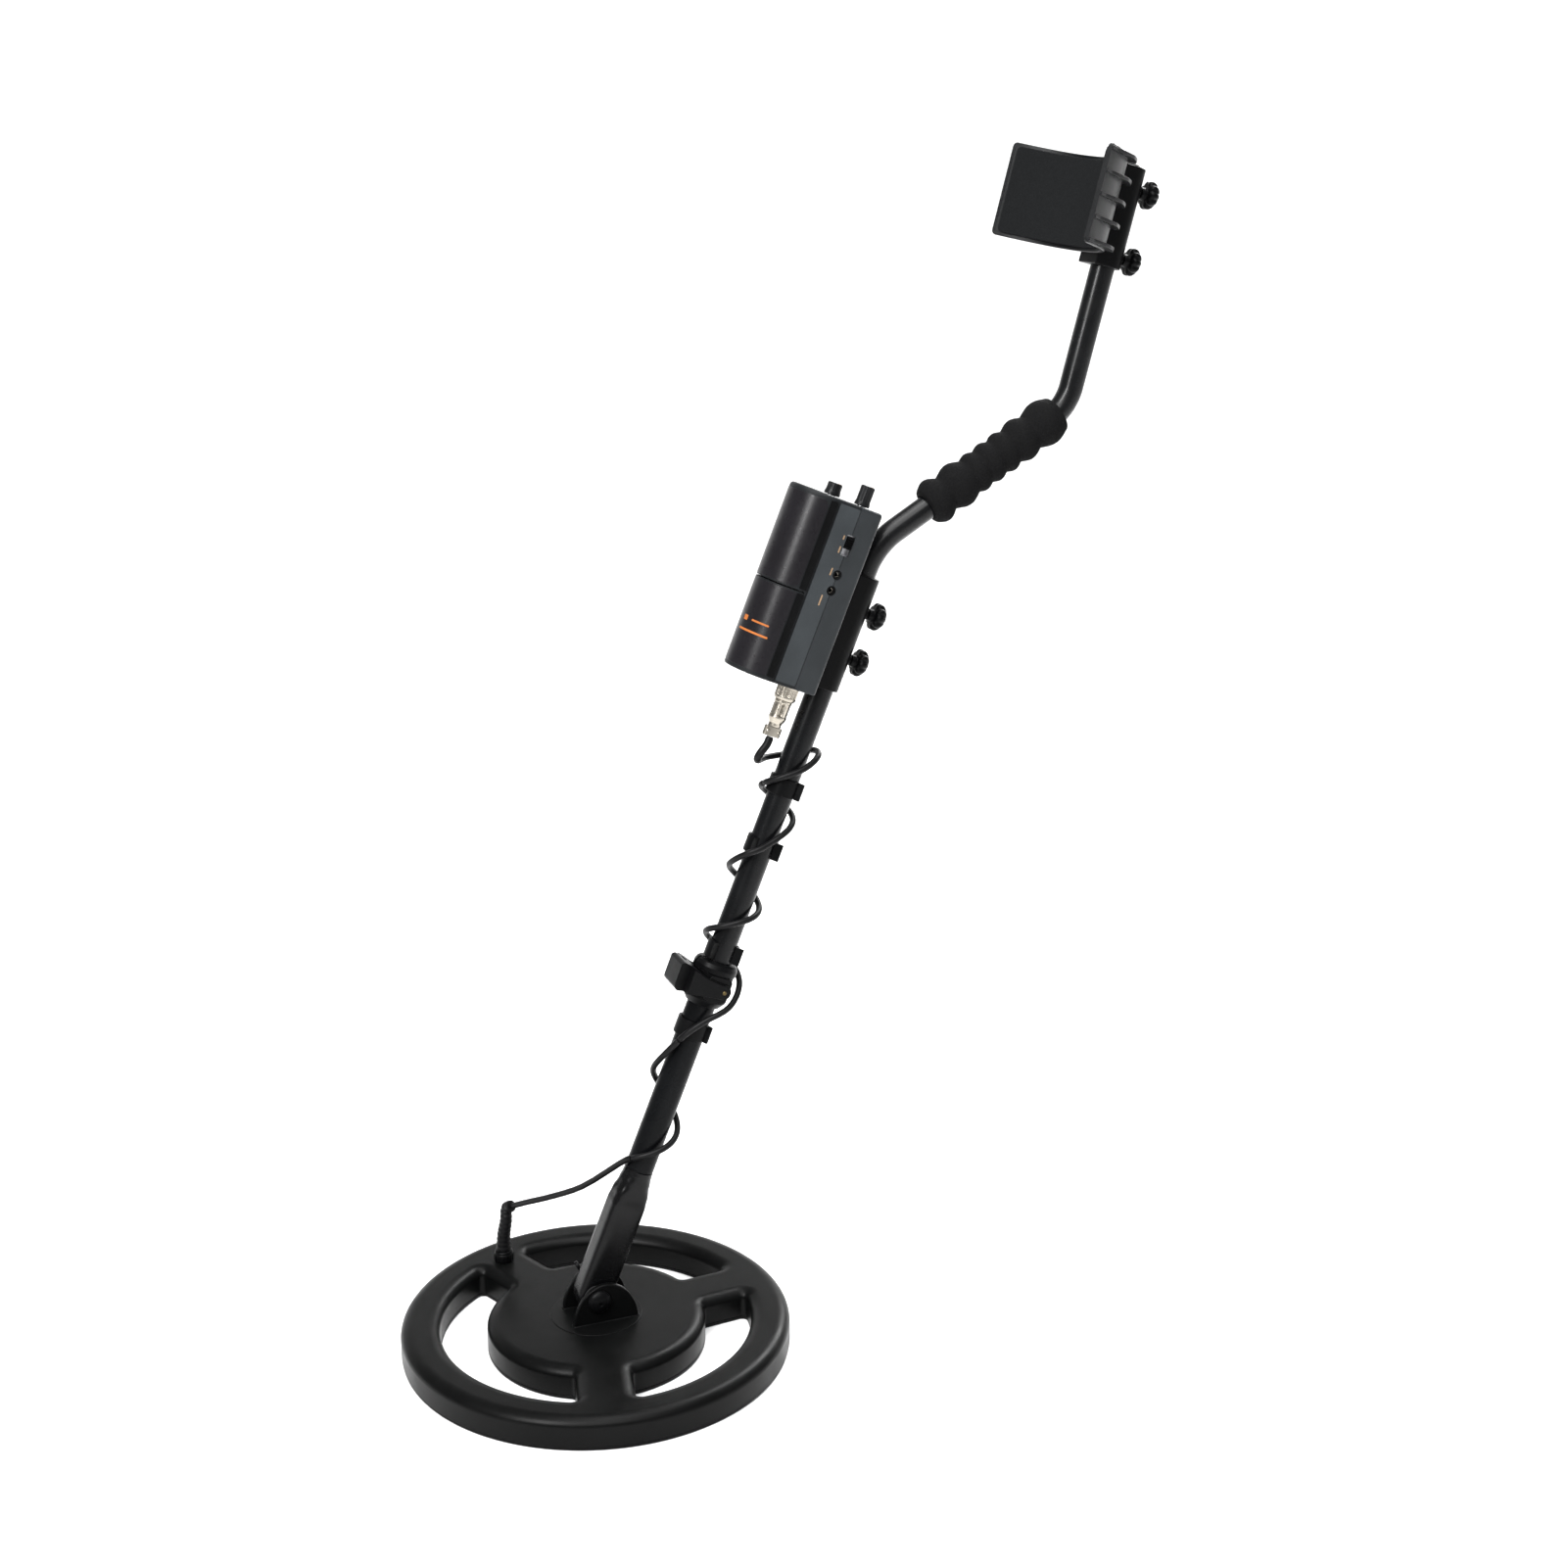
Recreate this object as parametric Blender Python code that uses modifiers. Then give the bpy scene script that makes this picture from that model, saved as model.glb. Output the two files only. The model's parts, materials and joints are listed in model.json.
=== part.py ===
"""Metal detector: round search coil, telescopic S-shaped stem, control box, arm cuff.

Frame: metres, +Z up, origin at the centre of the search coil's underside.
-Y is forwards (away from the user), +Y is the user's side, X is across,
and x = 0 is the plane in which the stem lies.

Pieces on the stem are modelled in three frames, each an empty on the tube's axis:
its Z runs up the tube, its -Y is the front of the tube (control box, arm cuff)
and its +Y is the back of the tube (clamp knobs).
"""
import math

import bmesh
import bpy
from mathutils import Matrix, Vector

# ---------------------------------------------------------------- driving dimensions
GAP = 0.0003                     # clearance left between pieces that touch

COIL_R = 0.140                   # search coil, outside
RING_IN_R = 0.1119               # inner edge of the coil's ring
DISC_R = 0.0787                  # middle disc
SPOKE_HALF = 0.020               # half the width of a spoke
SPOKE_ANGLES = (95, 203, 347)    # spoke centre lines, degrees from +X
WINDOW_FILLET = 0.008
COIL_TOP = 0.023                 # height of the coil's upper face
COIL_ROUND = 0.007               # rounding of the upper edges
COVER_T = 0.0025                 # bottom cover
WALL = 0.002                     # moulded walls

STEM_FOOT_Z = 0.0461             # height of the stem frame's origin, on the tube's axis
PIVOT_DROP = 0.0060              # the coil's pivot bolt, below that origin along the tube
EAR_IN_X = 0.0118                # inner face of each pivot ear
EAR_T = 0.0040
EAR_Y = 0.0030                   # middle of each ear, a broad arch
EAR_REACH = 0.0240
EAR_HEIGHT = 0.0315
EAR_POWER = 2.0
BOLT_R = 0.0040
NUT_X = (-0.0235, -0.0265)       # outer end of the wing nut, and of the bolt
NUT_LEAN = 25                    # the upper wing leans forwards, degrees
YOKE_HALF_X = 0.0100             # flat tongue at the stem's lower end
YOKE_HALF_Y = 0.0130
YOKE_END = 0.0125                # length of its round end, below the pivot

SHAFT_TILT = 67.9                # angles above the ground
GRIP_TILT = 31.3
ARM_TILT = 75.4
SHAFT_LENGTH = 0.5651            # stem frame's origin to the lower bend's corner
GRIP_LENGTH = 0.1693             # lower bend's corner to the upper bend's corner
ARM_LENGTH = 0.1655              # upper bend's corner to the end of the tube
LOWER_BEND_R = 0.055
UPPER_BEND_R = 0.036
BEND_STEPS = 6

LOWER_TUBE_R = (0.0104, 0.0097)  # outer and inner radius of each tube
MIDDLE_TUBE_R = (0.0094, 0.0088)
S_TUBE_R = (0.0085, 0.0075)
LOWER_TUBE_Z = (0.0920, 0.2500)  # ends of each tube, up the stem from its frame's origin
MIDDLE_TUBE_Z = (0.1130, 0.5430)
S_TUBE_START = 0.4800

LOCK_Z = (0.2220, 0.2545)        # cam lock collar
LOCK_R = 0.0160
LEVER_PIN = (0.0050, 0.2370)     # y and z of the lever's pin
LEVER_ARM_X = (0.0163, 0.0190)
LEVER_ROOM_R = 0.0237            # room about the pin, in which the collar's front swings clear

CLIPS = {"cable_clip_upper": (0.3870, -90), "cable_clip_middle": (0.3415, 180),
         "cable_clip_lower": (0.2620, 180), "cable_clip_stem": (0.2025, -90)}
CLIP_LENGTH = 0.0125

BOX_HALF = 0.0250                # control box: half width, and radius of its round front
BOX_BACK = 0.0130                # distance of each plane from the tube's axis
BOX_PARTING = 0.0302
BOX_CENTRE = 0.0480              # axis of the round front
BOX_Z = (0.4555, 0.5865)
DOOR_TOP = 0.5200
DOOR_BACK = 0.0480
DIALS = {"front": ((-0.0090, 0.0395), 0.0057, 0.0085),    # position, radius, height
         "rear": ((0.0100, 0.0245), 0.0054, 0.0140)}
DIAL_SHAFT_R = 0.0030
SWITCH_Z = 0.5587
SWITCH_SLOT = (0.0060, 0.0140)
SWITCH_TRAVEL = 0.0040
JACKS = {"headphone_jack": 0.5380, "charging_jack": 0.5268}
JACK_R = (0.0030, 0.0018)
SOCKET_R = 0.0050
PLUG_FRONT = 0.0230              # distance of the plug's axis in front of the tube's axis

BRACKET_R = 0.0120
BOX_BRACKET_Z = (0.4610, 0.5435)
BOX_KNOB_Z = (0.4850, 0.5190)
CUFF_BRACKET_Z = (0.0980, 0.1670)
CUFF_KNOB_Z = (0.1060, 0.1520)
KNOB_R = 0.0098
KNOB_T = 0.0088
KNOB_FACE = 0.0172               # inner face of a clamp knob, behind the tube's axis
KNOB_LOBES = 10
KNOB_LOBE_DEPTH = 0.0010
KNOB_THREAD_R = 0.0025

CUFF_HALF = 0.0680               # arm cuff
CUFF_FLOOR = 0.0150
CUFF_RIM = 0.0555
CUFF_Z = (0.1045, 0.1690)
CUFF_T = 0.0030
RIBS = 5                         # across the outside of each wall of the cuff
RIB_T = 0.0018
RIB_DEPTH = 0.0042
PAD_T = 0.0020
PAD_GAP = 0.0009

GRIP_Z = (0.0460, 0.1610)        # foam grip on the sloping part of the S tube
GRIP_BULGES = 7

CABLE_R = 0.00225
LEAD_GAP = 0.0010                # between two stretches of the lead
LEAD_HEAD = 0.0600               # length that hangs at the plug before the winding starts
LEAD_STEP = 0.0058
GLAND_XY = (-0.0990, -0.0430)    # where the lead enters the coil
BOOT_TIP = (-0.0955, -0.0365, 0.0685)
TAIL_WAY = (0.7430, 0.4418, 0.5020)   # direction in which the lead leaves the boot

CASE_SCREWS = [(x, z) for x in (-0.0197, 0.0197) for z in (0.4655, 0.5765)]
BOARD = ((-0.0155, -0.0188, 0.4620), (0.0155, -0.0172, 0.5800))
CHIPS = ((-0.0090, 0.5450, 0.0060, 0.0120), (0.0020, 0.5000, 0.0080, 0.0100),
         (-0.0100, 0.5120, 0.0040, 0.0060))   # x, z, width, height

# The lead's winding, downwards: height on the stem, angle and radius about the tube's axis.
# 0 is the front of the tube, -90 the -X side, -180 the back, -270 the +X side.
WRAP = [(0.4070, -90, 0.0145), (0.4170, -180, 0.0155), (0.4010, -270, 0.0135), (0.3850, -360, 0.0150),
        (0.3760, -450, 0.0140), (0.3670, -540, 0.0155), (0.3480, -630, 0.0135), (0.3385, -668, 0.0182),
        (0.3250, -720, 0.0170), (0.3125, -810, 0.0140), (0.3000, -900, 0.0150), (0.2880, -990, 0.0135),
        (0.2745, -1080, 0.0150), (0.2620, -1170, 0.0155), (0.2540, -1215, 0.0190), (0.2440, -1260, 0.0215),
        (0.2270, -1305, 0.0205), (0.2130, -1350, 0.0158), (0.2000, -1385, 0.0152), (0.1720, -1440, 0.0160),
        (0.1500, -1530, 0.0145), (0.1290, -1620, 0.0165), (0.1110, -1710, 0.0150), (0.0985, -1780, 0.0145)]
WRAP_BREAKS = {"clip_upper": 0.3850, "clip_lower": 0.2620, "clip_stem": 0.1950, "leaving": 0.1010}

PARTS = "metal_detector"
CUTTERS = "metal_detector_cutters"


# ---------------------------------------------------------------- scene and materials
def clear_scene():
    for obj in list(bpy.data.objects):
        bpy.data.objects.remove(obj, do_unlink=True)


def collection(name):
    group = bpy.data.collections.new(name)
    bpy.context.scene.collection.children.link(group)
    return group


clear_scene()
parts = collection(PARTS)
cutters = collection(CUTTERS)


def material(name, colour, roughness, metallic=0.0):
    mat = bpy.data.materials.new(name)
    mat.use_nodes = True
    shader = mat.node_tree.nodes["Principled BSDF"]
    shader.inputs["Base Color"].default_value = (*colour, 1.0)
    shader.inputs["Roughness"].default_value = roughness
    shader.inputs["Metallic"].default_value = metallic
    return mat


FINISHES = {
    "coil_plastic": ((0.016, 0.017, 0.018), 0.42, 0.0),
    "case_plastic": ((0.030, 0.033, 0.036), 0.45, 0.0),
    "fitting_plastic": ((0.012, 0.012, 0.013), 0.50, 0.0),
    "black_tube": ((0.018, 0.019, 0.021), 0.25, 0.6),
    "nickel": ((0.72, 0.69, 0.64), 0.22, 1.0),
    "zinc_steel": ((0.50, 0.50, 0.52), 0.35, 1.0),
    "brass": ((0.60, 0.45, 0.20), 0.35, 1.0),
    "copper": ((0.55, 0.20, 0.08), 0.40, 1.0),
    "foam": ((0.012, 0.012, 0.012), 0.95, 0.0),
    "pad_foam": ((0.020, 0.020, 0.021), 0.90, 0.0),
    "cable_rubber": ((0.010, 0.010, 0.011), 0.45, 0.0),
    "washer_rubber": ((0.020, 0.020, 0.020), 0.80, 0.0),
    "circuit_green": ((0.02, 0.12, 0.05), 0.45, 0.0),
    "speaker_paper": ((0.05, 0.05, 0.05), 0.85, 0.0),
    "battery_wrap": ((0.10, 0.12, 0.25), 0.35, 0.0),
}


def finish_of(slot):
    if slot not in bpy.data.materials:
        return material(slot, *FINISHES[slot])
    return bpy.data.materials[slot]


# ---------------------------------------------------------------- frames on the stem
def tilted_frame(name, origin, tilt):
    """An empty whose Z points up the tube and whose -Y is the tube's front."""
    empty = bpy.data.objects.new(name, None)
    parts.objects.link(empty)
    empty.location = origin
    empty.rotation_euler = (math.radians(tilt - 90), 0, 0)
    empty.empty_display_size = 0.02
    return empty


def up_tube(tilt):
    return Vector((0, math.cos(math.radians(tilt)), math.sin(math.radians(tilt))))


STEM_FOOT = Vector((0, 0, STEM_FOOT_Z))
PIVOT = STEM_FOOT - up_tube(SHAFT_TILT) * PIVOT_DROP
LOWER_BEND = STEM_FOOT + up_tube(SHAFT_TILT) * SHAFT_LENGTH
UPPER_BEND = LOWER_BEND + up_tube(GRIP_TILT) * GRIP_LENGTH
STEM_MATRIX = Matrix.Translation(STEM_FOOT) @ Matrix.Rotation(math.radians(SHAFT_TILT - 90), 4, "X")

stem = tilted_frame("stem_frame", STEM_FOOT, SHAFT_TILT)
grip = tilted_frame("grip_frame", LOWER_BEND, GRIP_TILT)
arm = tilted_frame("arm_frame", UPPER_BEND, ARM_TILT)


# ---------------------------------------------------------------- modelling helpers
def place(obj, parent=None, location=(0, 0, 0), rotation=(0, 0, 0)):
    obj.parent = parent
    obj.location = location
    obj.rotation_euler = [math.radians(angle) for angle in rotation]
    return obj


def shade(obj, slot):
    obj.data.materials.clear()
    obj.data.materials.append(finish_of(slot))
    if obj.type == "MESH":
        obj.data.shade_smooth()
        obj.data.set_sharp_from_angle(angle=math.radians(40))
    return obj


def from_bmesh(name, bm):
    mesh = bpy.data.meshes.new(name)
    bm.to_mesh(mesh)
    bm.free()
    obj = bpy.data.objects.new(name, mesh)
    parts.objects.link(obj)
    return obj


def block(name, low, high):
    """A box between two corners, made from a cube."""
    bm = bmesh.new()
    bmesh.ops.create_cube(bm, size=1.0)
    size = [b - a for a, b in zip(low, high)]
    centre = [(a + b) / 2 for a, b in zip(low, high)]
    bmesh.ops.scale(bm, vec=size, verts=bm.verts)
    bmesh.ops.translate(bm, vec=centre, verts=bm.verts)
    return from_bmesh(name, bm)


def rod(name, radius, start, end, sides=16, end_radius=None):
    """A cylinder or cone between two points."""
    bm = bmesh.new()
    span = Vector(end) - Vector(start)
    bmesh.ops.create_cone(bm, cap_ends=True, segments=sides, radius1=radius,
                          radius2=radius if end_radius is None else end_radius, depth=span.length)
    turn = Vector((0, 0, 1)).rotation_difference(span).to_matrix().to_4x4()
    middle = Matrix.Translation((Vector(start) + Vector(end)) / 2)
    bmesh.ops.transform(bm, matrix=middle @ turn, verts=bm.verts)
    return from_bmesh(name, bm)


def turned(name, profile, steps=24, closed=False):
    """A profile of (radius, height) turned about Z; its outer side runs downwards."""
    mesh = bpy.data.meshes.new(name)
    edges = [(i, i + 1) for i in range(len(profile) - 1)]
    if closed:
        edges.append((len(profile) - 1, 0))
    mesh.from_pydata([(radius, 0, height) for radius, height in profile], edges, [])
    obj = bpy.data.objects.new(name, mesh)
    parts.objects.link(obj)
    screw = obj.modifiers.new("turn", "SCREW")
    screw.axis = "Z"
    screw.steps = steps
    screw.render_steps = steps
    screw.use_merge_vertices = True
    screw.merge_threshold = 0.00001
    return obj


def ring_profile(outer, inner, low, high):
    return [(outer, high), (outer, low), (inner, low), (inner, high)]


def outline_curve(name, loops, depth, bevel=0.0, resolution=1):
    """A flat outline in XY, filled and extruded by depth about z = 0."""
    curve = bpy.data.curves.new(name, "CURVE")
    curve.dimensions = "2D"
    curve.fill_mode = "BOTH"
    curve.extrude = depth / 2 - bevel
    curve.bevel_depth = bevel
    curve.bevel_resolution = resolution
    curve.offset = -bevel
    for loop in loops:
        spline = curve.splines.new("POLY")
        spline.points.add(len(loop) - 1)
        for point, (x, y) in zip(spline.points, loop):
            point.co = (x, y, 0, 1)
        spline.use_cyclic_u = True
    obj = bpy.data.objects.new(name, curve)
    parts.objects.link(obj)
    return obj


def as_mesh(obj):
    """The evaluated shape as a plain mesh object, with the curve's loose caps welded."""
    bpy.context.view_layer.update()
    name, matrix, parent = obj.name, obj.matrix_world.copy(), obj.parent
    graph = bpy.context.evaluated_depsgraph_get()
    mesh = bpy.data.meshes.new_from_object(obj.evaluated_get(graph))
    bm = bmesh.new()
    bm.from_mesh(mesh)
    bmesh.ops.remove_doubles(bm, verts=bm.verts, dist=0.00001)
    bmesh.ops.dissolve_limit(bm, angle_limit=math.radians(0.5), verts=bm.verts, edges=bm.edges)
    bmesh.ops.recalc_face_normals(bm, faces=bm.faces)
    bm.to_mesh(mesh)
    bm.free()
    bpy.data.objects.remove(obj, do_unlink=True)
    solid = bpy.data.objects.new(name, mesh)
    parts.objects.link(solid)
    solid.parent = parent
    solid.matrix_world = matrix
    return solid


def extruded(name, loops, depth, bevel=0.0, resolution=1):
    return as_mesh(outline_curve(name, loops, depth, bevel, resolution))


def combine(obj, tool, operation="DIFFERENCE"):
    """Cuts or joins obj with a tool, which moves to the cutters' collection."""
    for group in list(tool.users_collection):
        group.objects.unlink(tool)
    cutters.objects.link(tool)
    tool.name = f"cutter_{tool.name}"
    tool.parent = obj.parent
    tool.hide_render = True
    tool.display_type = "WIRE"
    modifier = obj.modifiers.new(operation.lower(), "BOOLEAN")
    modifier.operation = operation
    modifier.solver = "EXACT"
    modifier.object = tool
    return obj


def rounded(obj, width, segments=1, angle=40):
    bevel = obj.modifiers.new("round", "BEVEL")
    bevel.width = width
    bevel.segments = segments
    bevel.limit_method = "ANGLE"
    bevel.angle_limit = math.radians(angle)
    return obj


def arc(centre, radius, start, end, count):
    """Points on an arc, angles in degrees, both ends included."""
    turns = [math.radians(start + (end - start) * i / count) for i in range(count + 1)]
    return [(centre[0] + radius * math.cos(t), centre[1] + radius * math.sin(t)) for t in turns]


def circle(radius, count, centre=(0, 0)):
    return arc(centre, radius, 0, 360 - 360 / count, count - 1)


def smooth_path(points, per_span):
    """A centripetal Catmull-Rom curve through the points."""
    path = [Vector(p) for p in points]
    ends = [path[0] * 2 - path[1]] + path + [path[-1] * 2 - path[-2]]
    result = []
    for i in range(1, len(ends) - 2):
        p = ends[i - 1:i + 3]
        knots = [0.0]
        for a, b in zip(p, p[1:]):
            knots.append(knots[-1] + max((b - a).length, 1e-9) ** 0.5)
        for step in range(per_span):
            t = knots[1] + (knots[2] - knots[1]) * step / per_span
            level = list(p)
            for order in range(1, 4):
                for j in range(4 - order):
                    low, high = (knots[j], knots[j + order]) if order < 3 else (knots[1], knots[2])
                    level[j] = level[j].lerp(level[j + 1], (t - low) / (high - low))
            result.append(level[0])
    result.append(path[-1])
    return result


def along(path, spacing, start=0.0, end=None):
    """The path read at even steps between two lengths along it."""
    lengths = [0.0]
    for a, b in zip(path, path[1:]):
        lengths.append(lengths[-1] + (b - a).length)
    end = lengths[-1] if end is None else end
    count = max(2, round((end - start) / spacing))
    points, span = [], 0
    for i in range(count + 1):
        target = start + (end - start) * i / count
        while span < len(path) - 2 and lengths[span + 1] < target:
            span += 1
        share = (target - lengths[span]) / (lengths[span + 1] - lengths[span])
        points.append(path[span].lerp(path[span + 1], share))
    return points


def wire(name, points, radius, slot, radii=None):
    """A round wire, closed at both ends; radii are shares of the radius."""
    curve = bpy.data.curves.new(name, "CURVE")
    curve.dimensions = "3D"
    curve.bevel_depth = radius
    curve.bevel_resolution = 2
    curve.use_fill_caps = True
    spline = curve.splines.new("POLY")
    spline.points.add(len(points) - 1)
    for i, point in enumerate(points):
        spline.points[i].co = (*point, 1)
        spline.points[i].radius = radii[i] if radii else 1.0
    obj = bpy.data.objects.new(name, curve)
    parts.objects.link(obj)
    obj.data.materials.append(finish_of(slot))
    return obj


# ---------------------------------------------------------------- search coil
def window(centre_angle, half_turn, inset):
    """One of the openings between two spokes, with filleted corners."""
    half, fillet = SPOKE_HALF + inset, WINDOW_FILLET - inset / 2
    outer, inner = RING_IN_R - inset, DISC_R + inset
    side = half + fillet
    far = (math.sqrt((outer - fillet) ** 2 - side ** 2), side)
    near = (math.sqrt((inner + fillet) ** 2 - side ** 2), side)
    far_angle = math.degrees(math.atan2(far[1], far[0]))
    near_angle = math.degrees(math.atan2(near[1], near[0]))
    corner = arc(far, fillet, -90, far_angle, 3)
    foot = arc(near, fillet, near_angle + 180, 270, 3)
    outside = arc((0, 0), outer, far_angle, half_turn, 4)[1:]
    inside = arc((0, 0), inner, half_turn, near_angle, 3)[:-1]
    lower = inside + foot + corner + outside
    mirrored = []
    axis = math.radians(2 * half_turn)
    for x, y in reversed(lower[1:-1]):
        mirrored.append((x * math.cos(axis) + y * math.sin(axis), x * math.sin(axis) - y * math.cos(axis)))
    turn = math.radians(centre_angle - half_turn)
    return [(x * math.cos(turn) - y * math.sin(turn), x * math.sin(turn) + y * math.cos(turn))
            for x, y in lower + mirrored]


def coil_outline(inset=0.0):
    """The ring's edge and the window between each spoke and the next."""
    windows = []
    for start, end in zip(SPOKE_ANGLES, SPOKE_ANGLES[1:] + (SPOKE_ANGLES[0] + 360,)):
        windows.append(window((start + end) / 2, (end - start) / 2, -inset))
    return [circle(COIL_R - inset, 54)] + windows


def ear_outline():
    """A broad arch above its foot (y, z)."""
    points = []
    for i in range(13):
        c, t = math.cos(math.pi * i / 12), math.sin(math.pi * i / 12)
        points.append((EAR_REACH * math.copysign(abs(c) ** (2 / EAR_POWER), c),
                       EAR_HEIGHT * abs(t) ** (2 / EAR_POWER)))
    return points


def make_coil():
    cover_top = COVER_T + GAP
    half = COIL_TOP - 0.005
    shell = extruded("coil_top_shell", coil_outline(), 2 * half, bevel=COIL_ROUND)
    place(shell, location=(0, 0, COIL_TOP - half))
    reach = 2 * COIL_R
    combine(shell, block("coil_base_cut", (-reach, -reach, -reach), (reach, reach, cover_top)))
    ring = ring_profile(COIL_R - 0.003, RING_IN_R + 0.003, -0.01, 0.0180)
    combine(shell, turned("coil_ring_channel", ring, 36, closed=True))
    recess = ring_profile(DISC_R - 0.003, 0.026, -0.01, 0.0190)
    combine(shell, turned("coil_disc_recess", recess, 24, closed=True))
    for side in (-1, 1):
        ear = extruded(f"ear{side}", [ear_outline()], EAR_T)
        place(ear, location=(side * (EAR_IN_X + EAR_T / 2), EAR_Y, COIL_TOP - 0.002), rotation=(90, 0, 90))
        combine(shell, ear, "UNION")
    bore = rod("pivot_bore", BOLT_R + GAP, (-0.03, PIVOT.y, PIVOT.z), (0.03, PIVOT.y, PIVOT.z))
    combine(shell, bore)
    x, y = GLAND_XY
    combine(shell, rod("cable_entry", CABLE_R + 0.0004, (x, y, 0.012), (x, y, COIL_TOP + 0.01), 12))
    shade(shell, "coil_plastic")

    cover = extruded("coil_bottom_cover", coil_outline(0.0004), COVER_T)
    shade(place(cover, location=(0, 0, COVER_T / 2)), "coil_plastic")

    for name, radius, wire_r, steps in (("transmit_winding", 0.1260, 0.0032, 30),
                                        ("receive_winding", 0.0600, 0.0028, 20)):
        section = [(radius + wire_r * math.sin(t), 0.0100 + wire_r * math.cos(t))
                   for t in (math.radians(60 * i) for i in range(6))]
        shade(turned(name, section, steps, closed=True), "copper")


def make_pivot():
    """Domed bolt from the +X side, a rubber washer in each gap, and a wing nut on the -X side."""
    head_x = EAR_IN_X + EAR_T + GAP
    nut_end, bolt_end = NUT_X
    length = head_x - bolt_end
    head_r, head_t, chamfer = 0.0085, 0.0052, 0.001
    slopes = [math.radians(angle) for angle in (25, 50, 72, 90)]
    dome = [(head_r * math.sin(slope), head_t * math.cos(slope)) for slope in slopes]
    profile = [(0, head_t)] + dome + [(BOLT_R, 0), (BOLT_R, chamfer - length), (BOLT_R - chamfer, -length),
                                      (0, -length)]
    bolt = turned("pivot_bolt", profile, 14)
    shade(place(bolt, location=(head_x, PIVOT.y, PIVOT.z), rotation=(0, 90, 0)), "fitting_plastic")

    section = ring_profile(0.0100, BOLT_R + GAP, YOKE_HALF_X + GAP, EAR_IN_X - GAP)
    for label, turn in (("right", 90), ("left", -90)):
        washer = turned(f"friction_washer_{label}", section, 14, closed=True)
        shade(place(washer, location=PIVOT, rotation=(0, turn, 0)), "washer_rubber")

    nut = turned("pivot_nut", [(0.0075, -head_x), (0.0065, nut_end), (BOLT_R + GAP, nut_end),
                               (BOLT_R + GAP, -head_x)], 12, closed=True)
    place(nut, location=PIVOT, rotation=(0, 90, 0))
    root, tip, tip_r, wing_t = 0.0055, 0.0124, 0.0036, 0.0026
    for label, turn in (("upper", -90), ("lower", 90)):
        lean = turn * (90 - NUT_LEAN) / 90
        wing = [(root, -0.0036)] + arc((tip, 0), tip_r, -90, 90, 4) + [(root, 0.0036)]
        plate = extruded(f"nut_wing_{label}", [wing], wing_t)
        place(plate, location=((nut_end - head_x) / 2, PIVOT.y, PIVOT.z), rotation=(0, lean, turn))
        combine(nut, plate, "UNION")
    shade(nut, "fitting_plastic")


def make_gland():
    """Collar on the coil and a tapering rubber boot, through which the lead enters."""
    x, y = GLAND_XY
    low = COIL_TOP + GAP
    height, bore = 0.0085, CABLE_R + GAP
    profile = [(0.0062, height), (0.0075, 0.0072), (0.0075, 0), (bore, 0), (bore, height)]
    collar = turned("cable_gland", profile, 14, closed=True)
    shade(place(collar, location=(x, y, low)), "fitting_plastic")
    foot = Vector((x, y, low + height + GAP))
    tip, way = Vector(BOOT_TIP), Vector(TAIL_WAY)
    points = smooth_path([foot, foot + Vector((0, 0.0005, 0.012)), foot + Vector((0.0004, 0.0025, 0.024)),
                          tip - way * 0.006, tip], 3)
    taper = 0.33
    radii = [1.0 - taper * i / (len(points) - 1) for i in range(len(points))]
    wire("strain_relief", points, 0.0056, "cable_rubber", radii)


# ---------------------------------------------------------------- lower stem
def loft(name, sections):
    """A closed solid through sections with equal numbers of points, first to last."""
    bm = bmesh.new()
    rings = [[bm.verts.new(point) for point in section] for section in sections]
    for lower, upper in zip(rings, rings[1:]):
        count = len(lower)
        for i in range(count):
            j = (i + 1) % count
            bm.faces.new((lower[i], lower[j], upper[j], upper[i]))
    bm.faces.new(reversed(rings[0]))
    bm.faces.new(rings[-1])
    return from_bmesh(name, bm)


def squircle(half_x, half_y, power, z, count=20):
    """A section between an ellipse (power 2) and a rectangle (high power)."""
    points = []
    for i in range(count):
        t = 2 * math.pi * (i + 0.5) / count
        c, s = math.cos(t), math.sin(t)
        points.append((half_x * math.copysign(abs(c) ** (2 / power), c),
                       half_y * math.copysign(abs(s) ** (2 / power), s), z))
    return points


def make_yoke():
    """Lower end of the stem: a plug in the tube, widening to a flat tongue on the pivot."""
    plug_r = LOWER_TUBE_R[1] - GAP
    base = LOWER_TUBE_Z[0] - GAP
    sections = []
    for angle in (80, 55, 30, 0):
        reach = math.cos(math.radians(angle))
        drop = -PIVOT_DROP - YOKE_END * math.sin(math.radians(angle))
        sections.append(squircle(YOKE_HALF_X, YOKE_HALF_Y * (0.35 + 0.65 * reach), 5, drop))
    sections += [squircle(YOKE_HALF_X, YOKE_HALF_Y, 5, 0.0640), squircle(0.0104, 0.0124, 4, 0.0720),
                 squircle(0.0107, 0.0112, 2.6, 0.0810), squircle(0.0107, 0.0107, 2.1, 0.0880),
                 squircle(0.0106, 0.0106, 2, base), squircle(plug_r, plug_r, 2, base),
                 squircle(plug_r, plug_r, 2, 0.1080)]
    yoke = place(loft("yoke", sections), stem)
    combine(yoke, rod("yoke_bore", BOLT_R + 0.0005, (-0.02, 0, -PIVOT_DROP), (0.02, 0, -PIVOT_DROP)))
    shade(yoke, "fitting_plastic")


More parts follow.
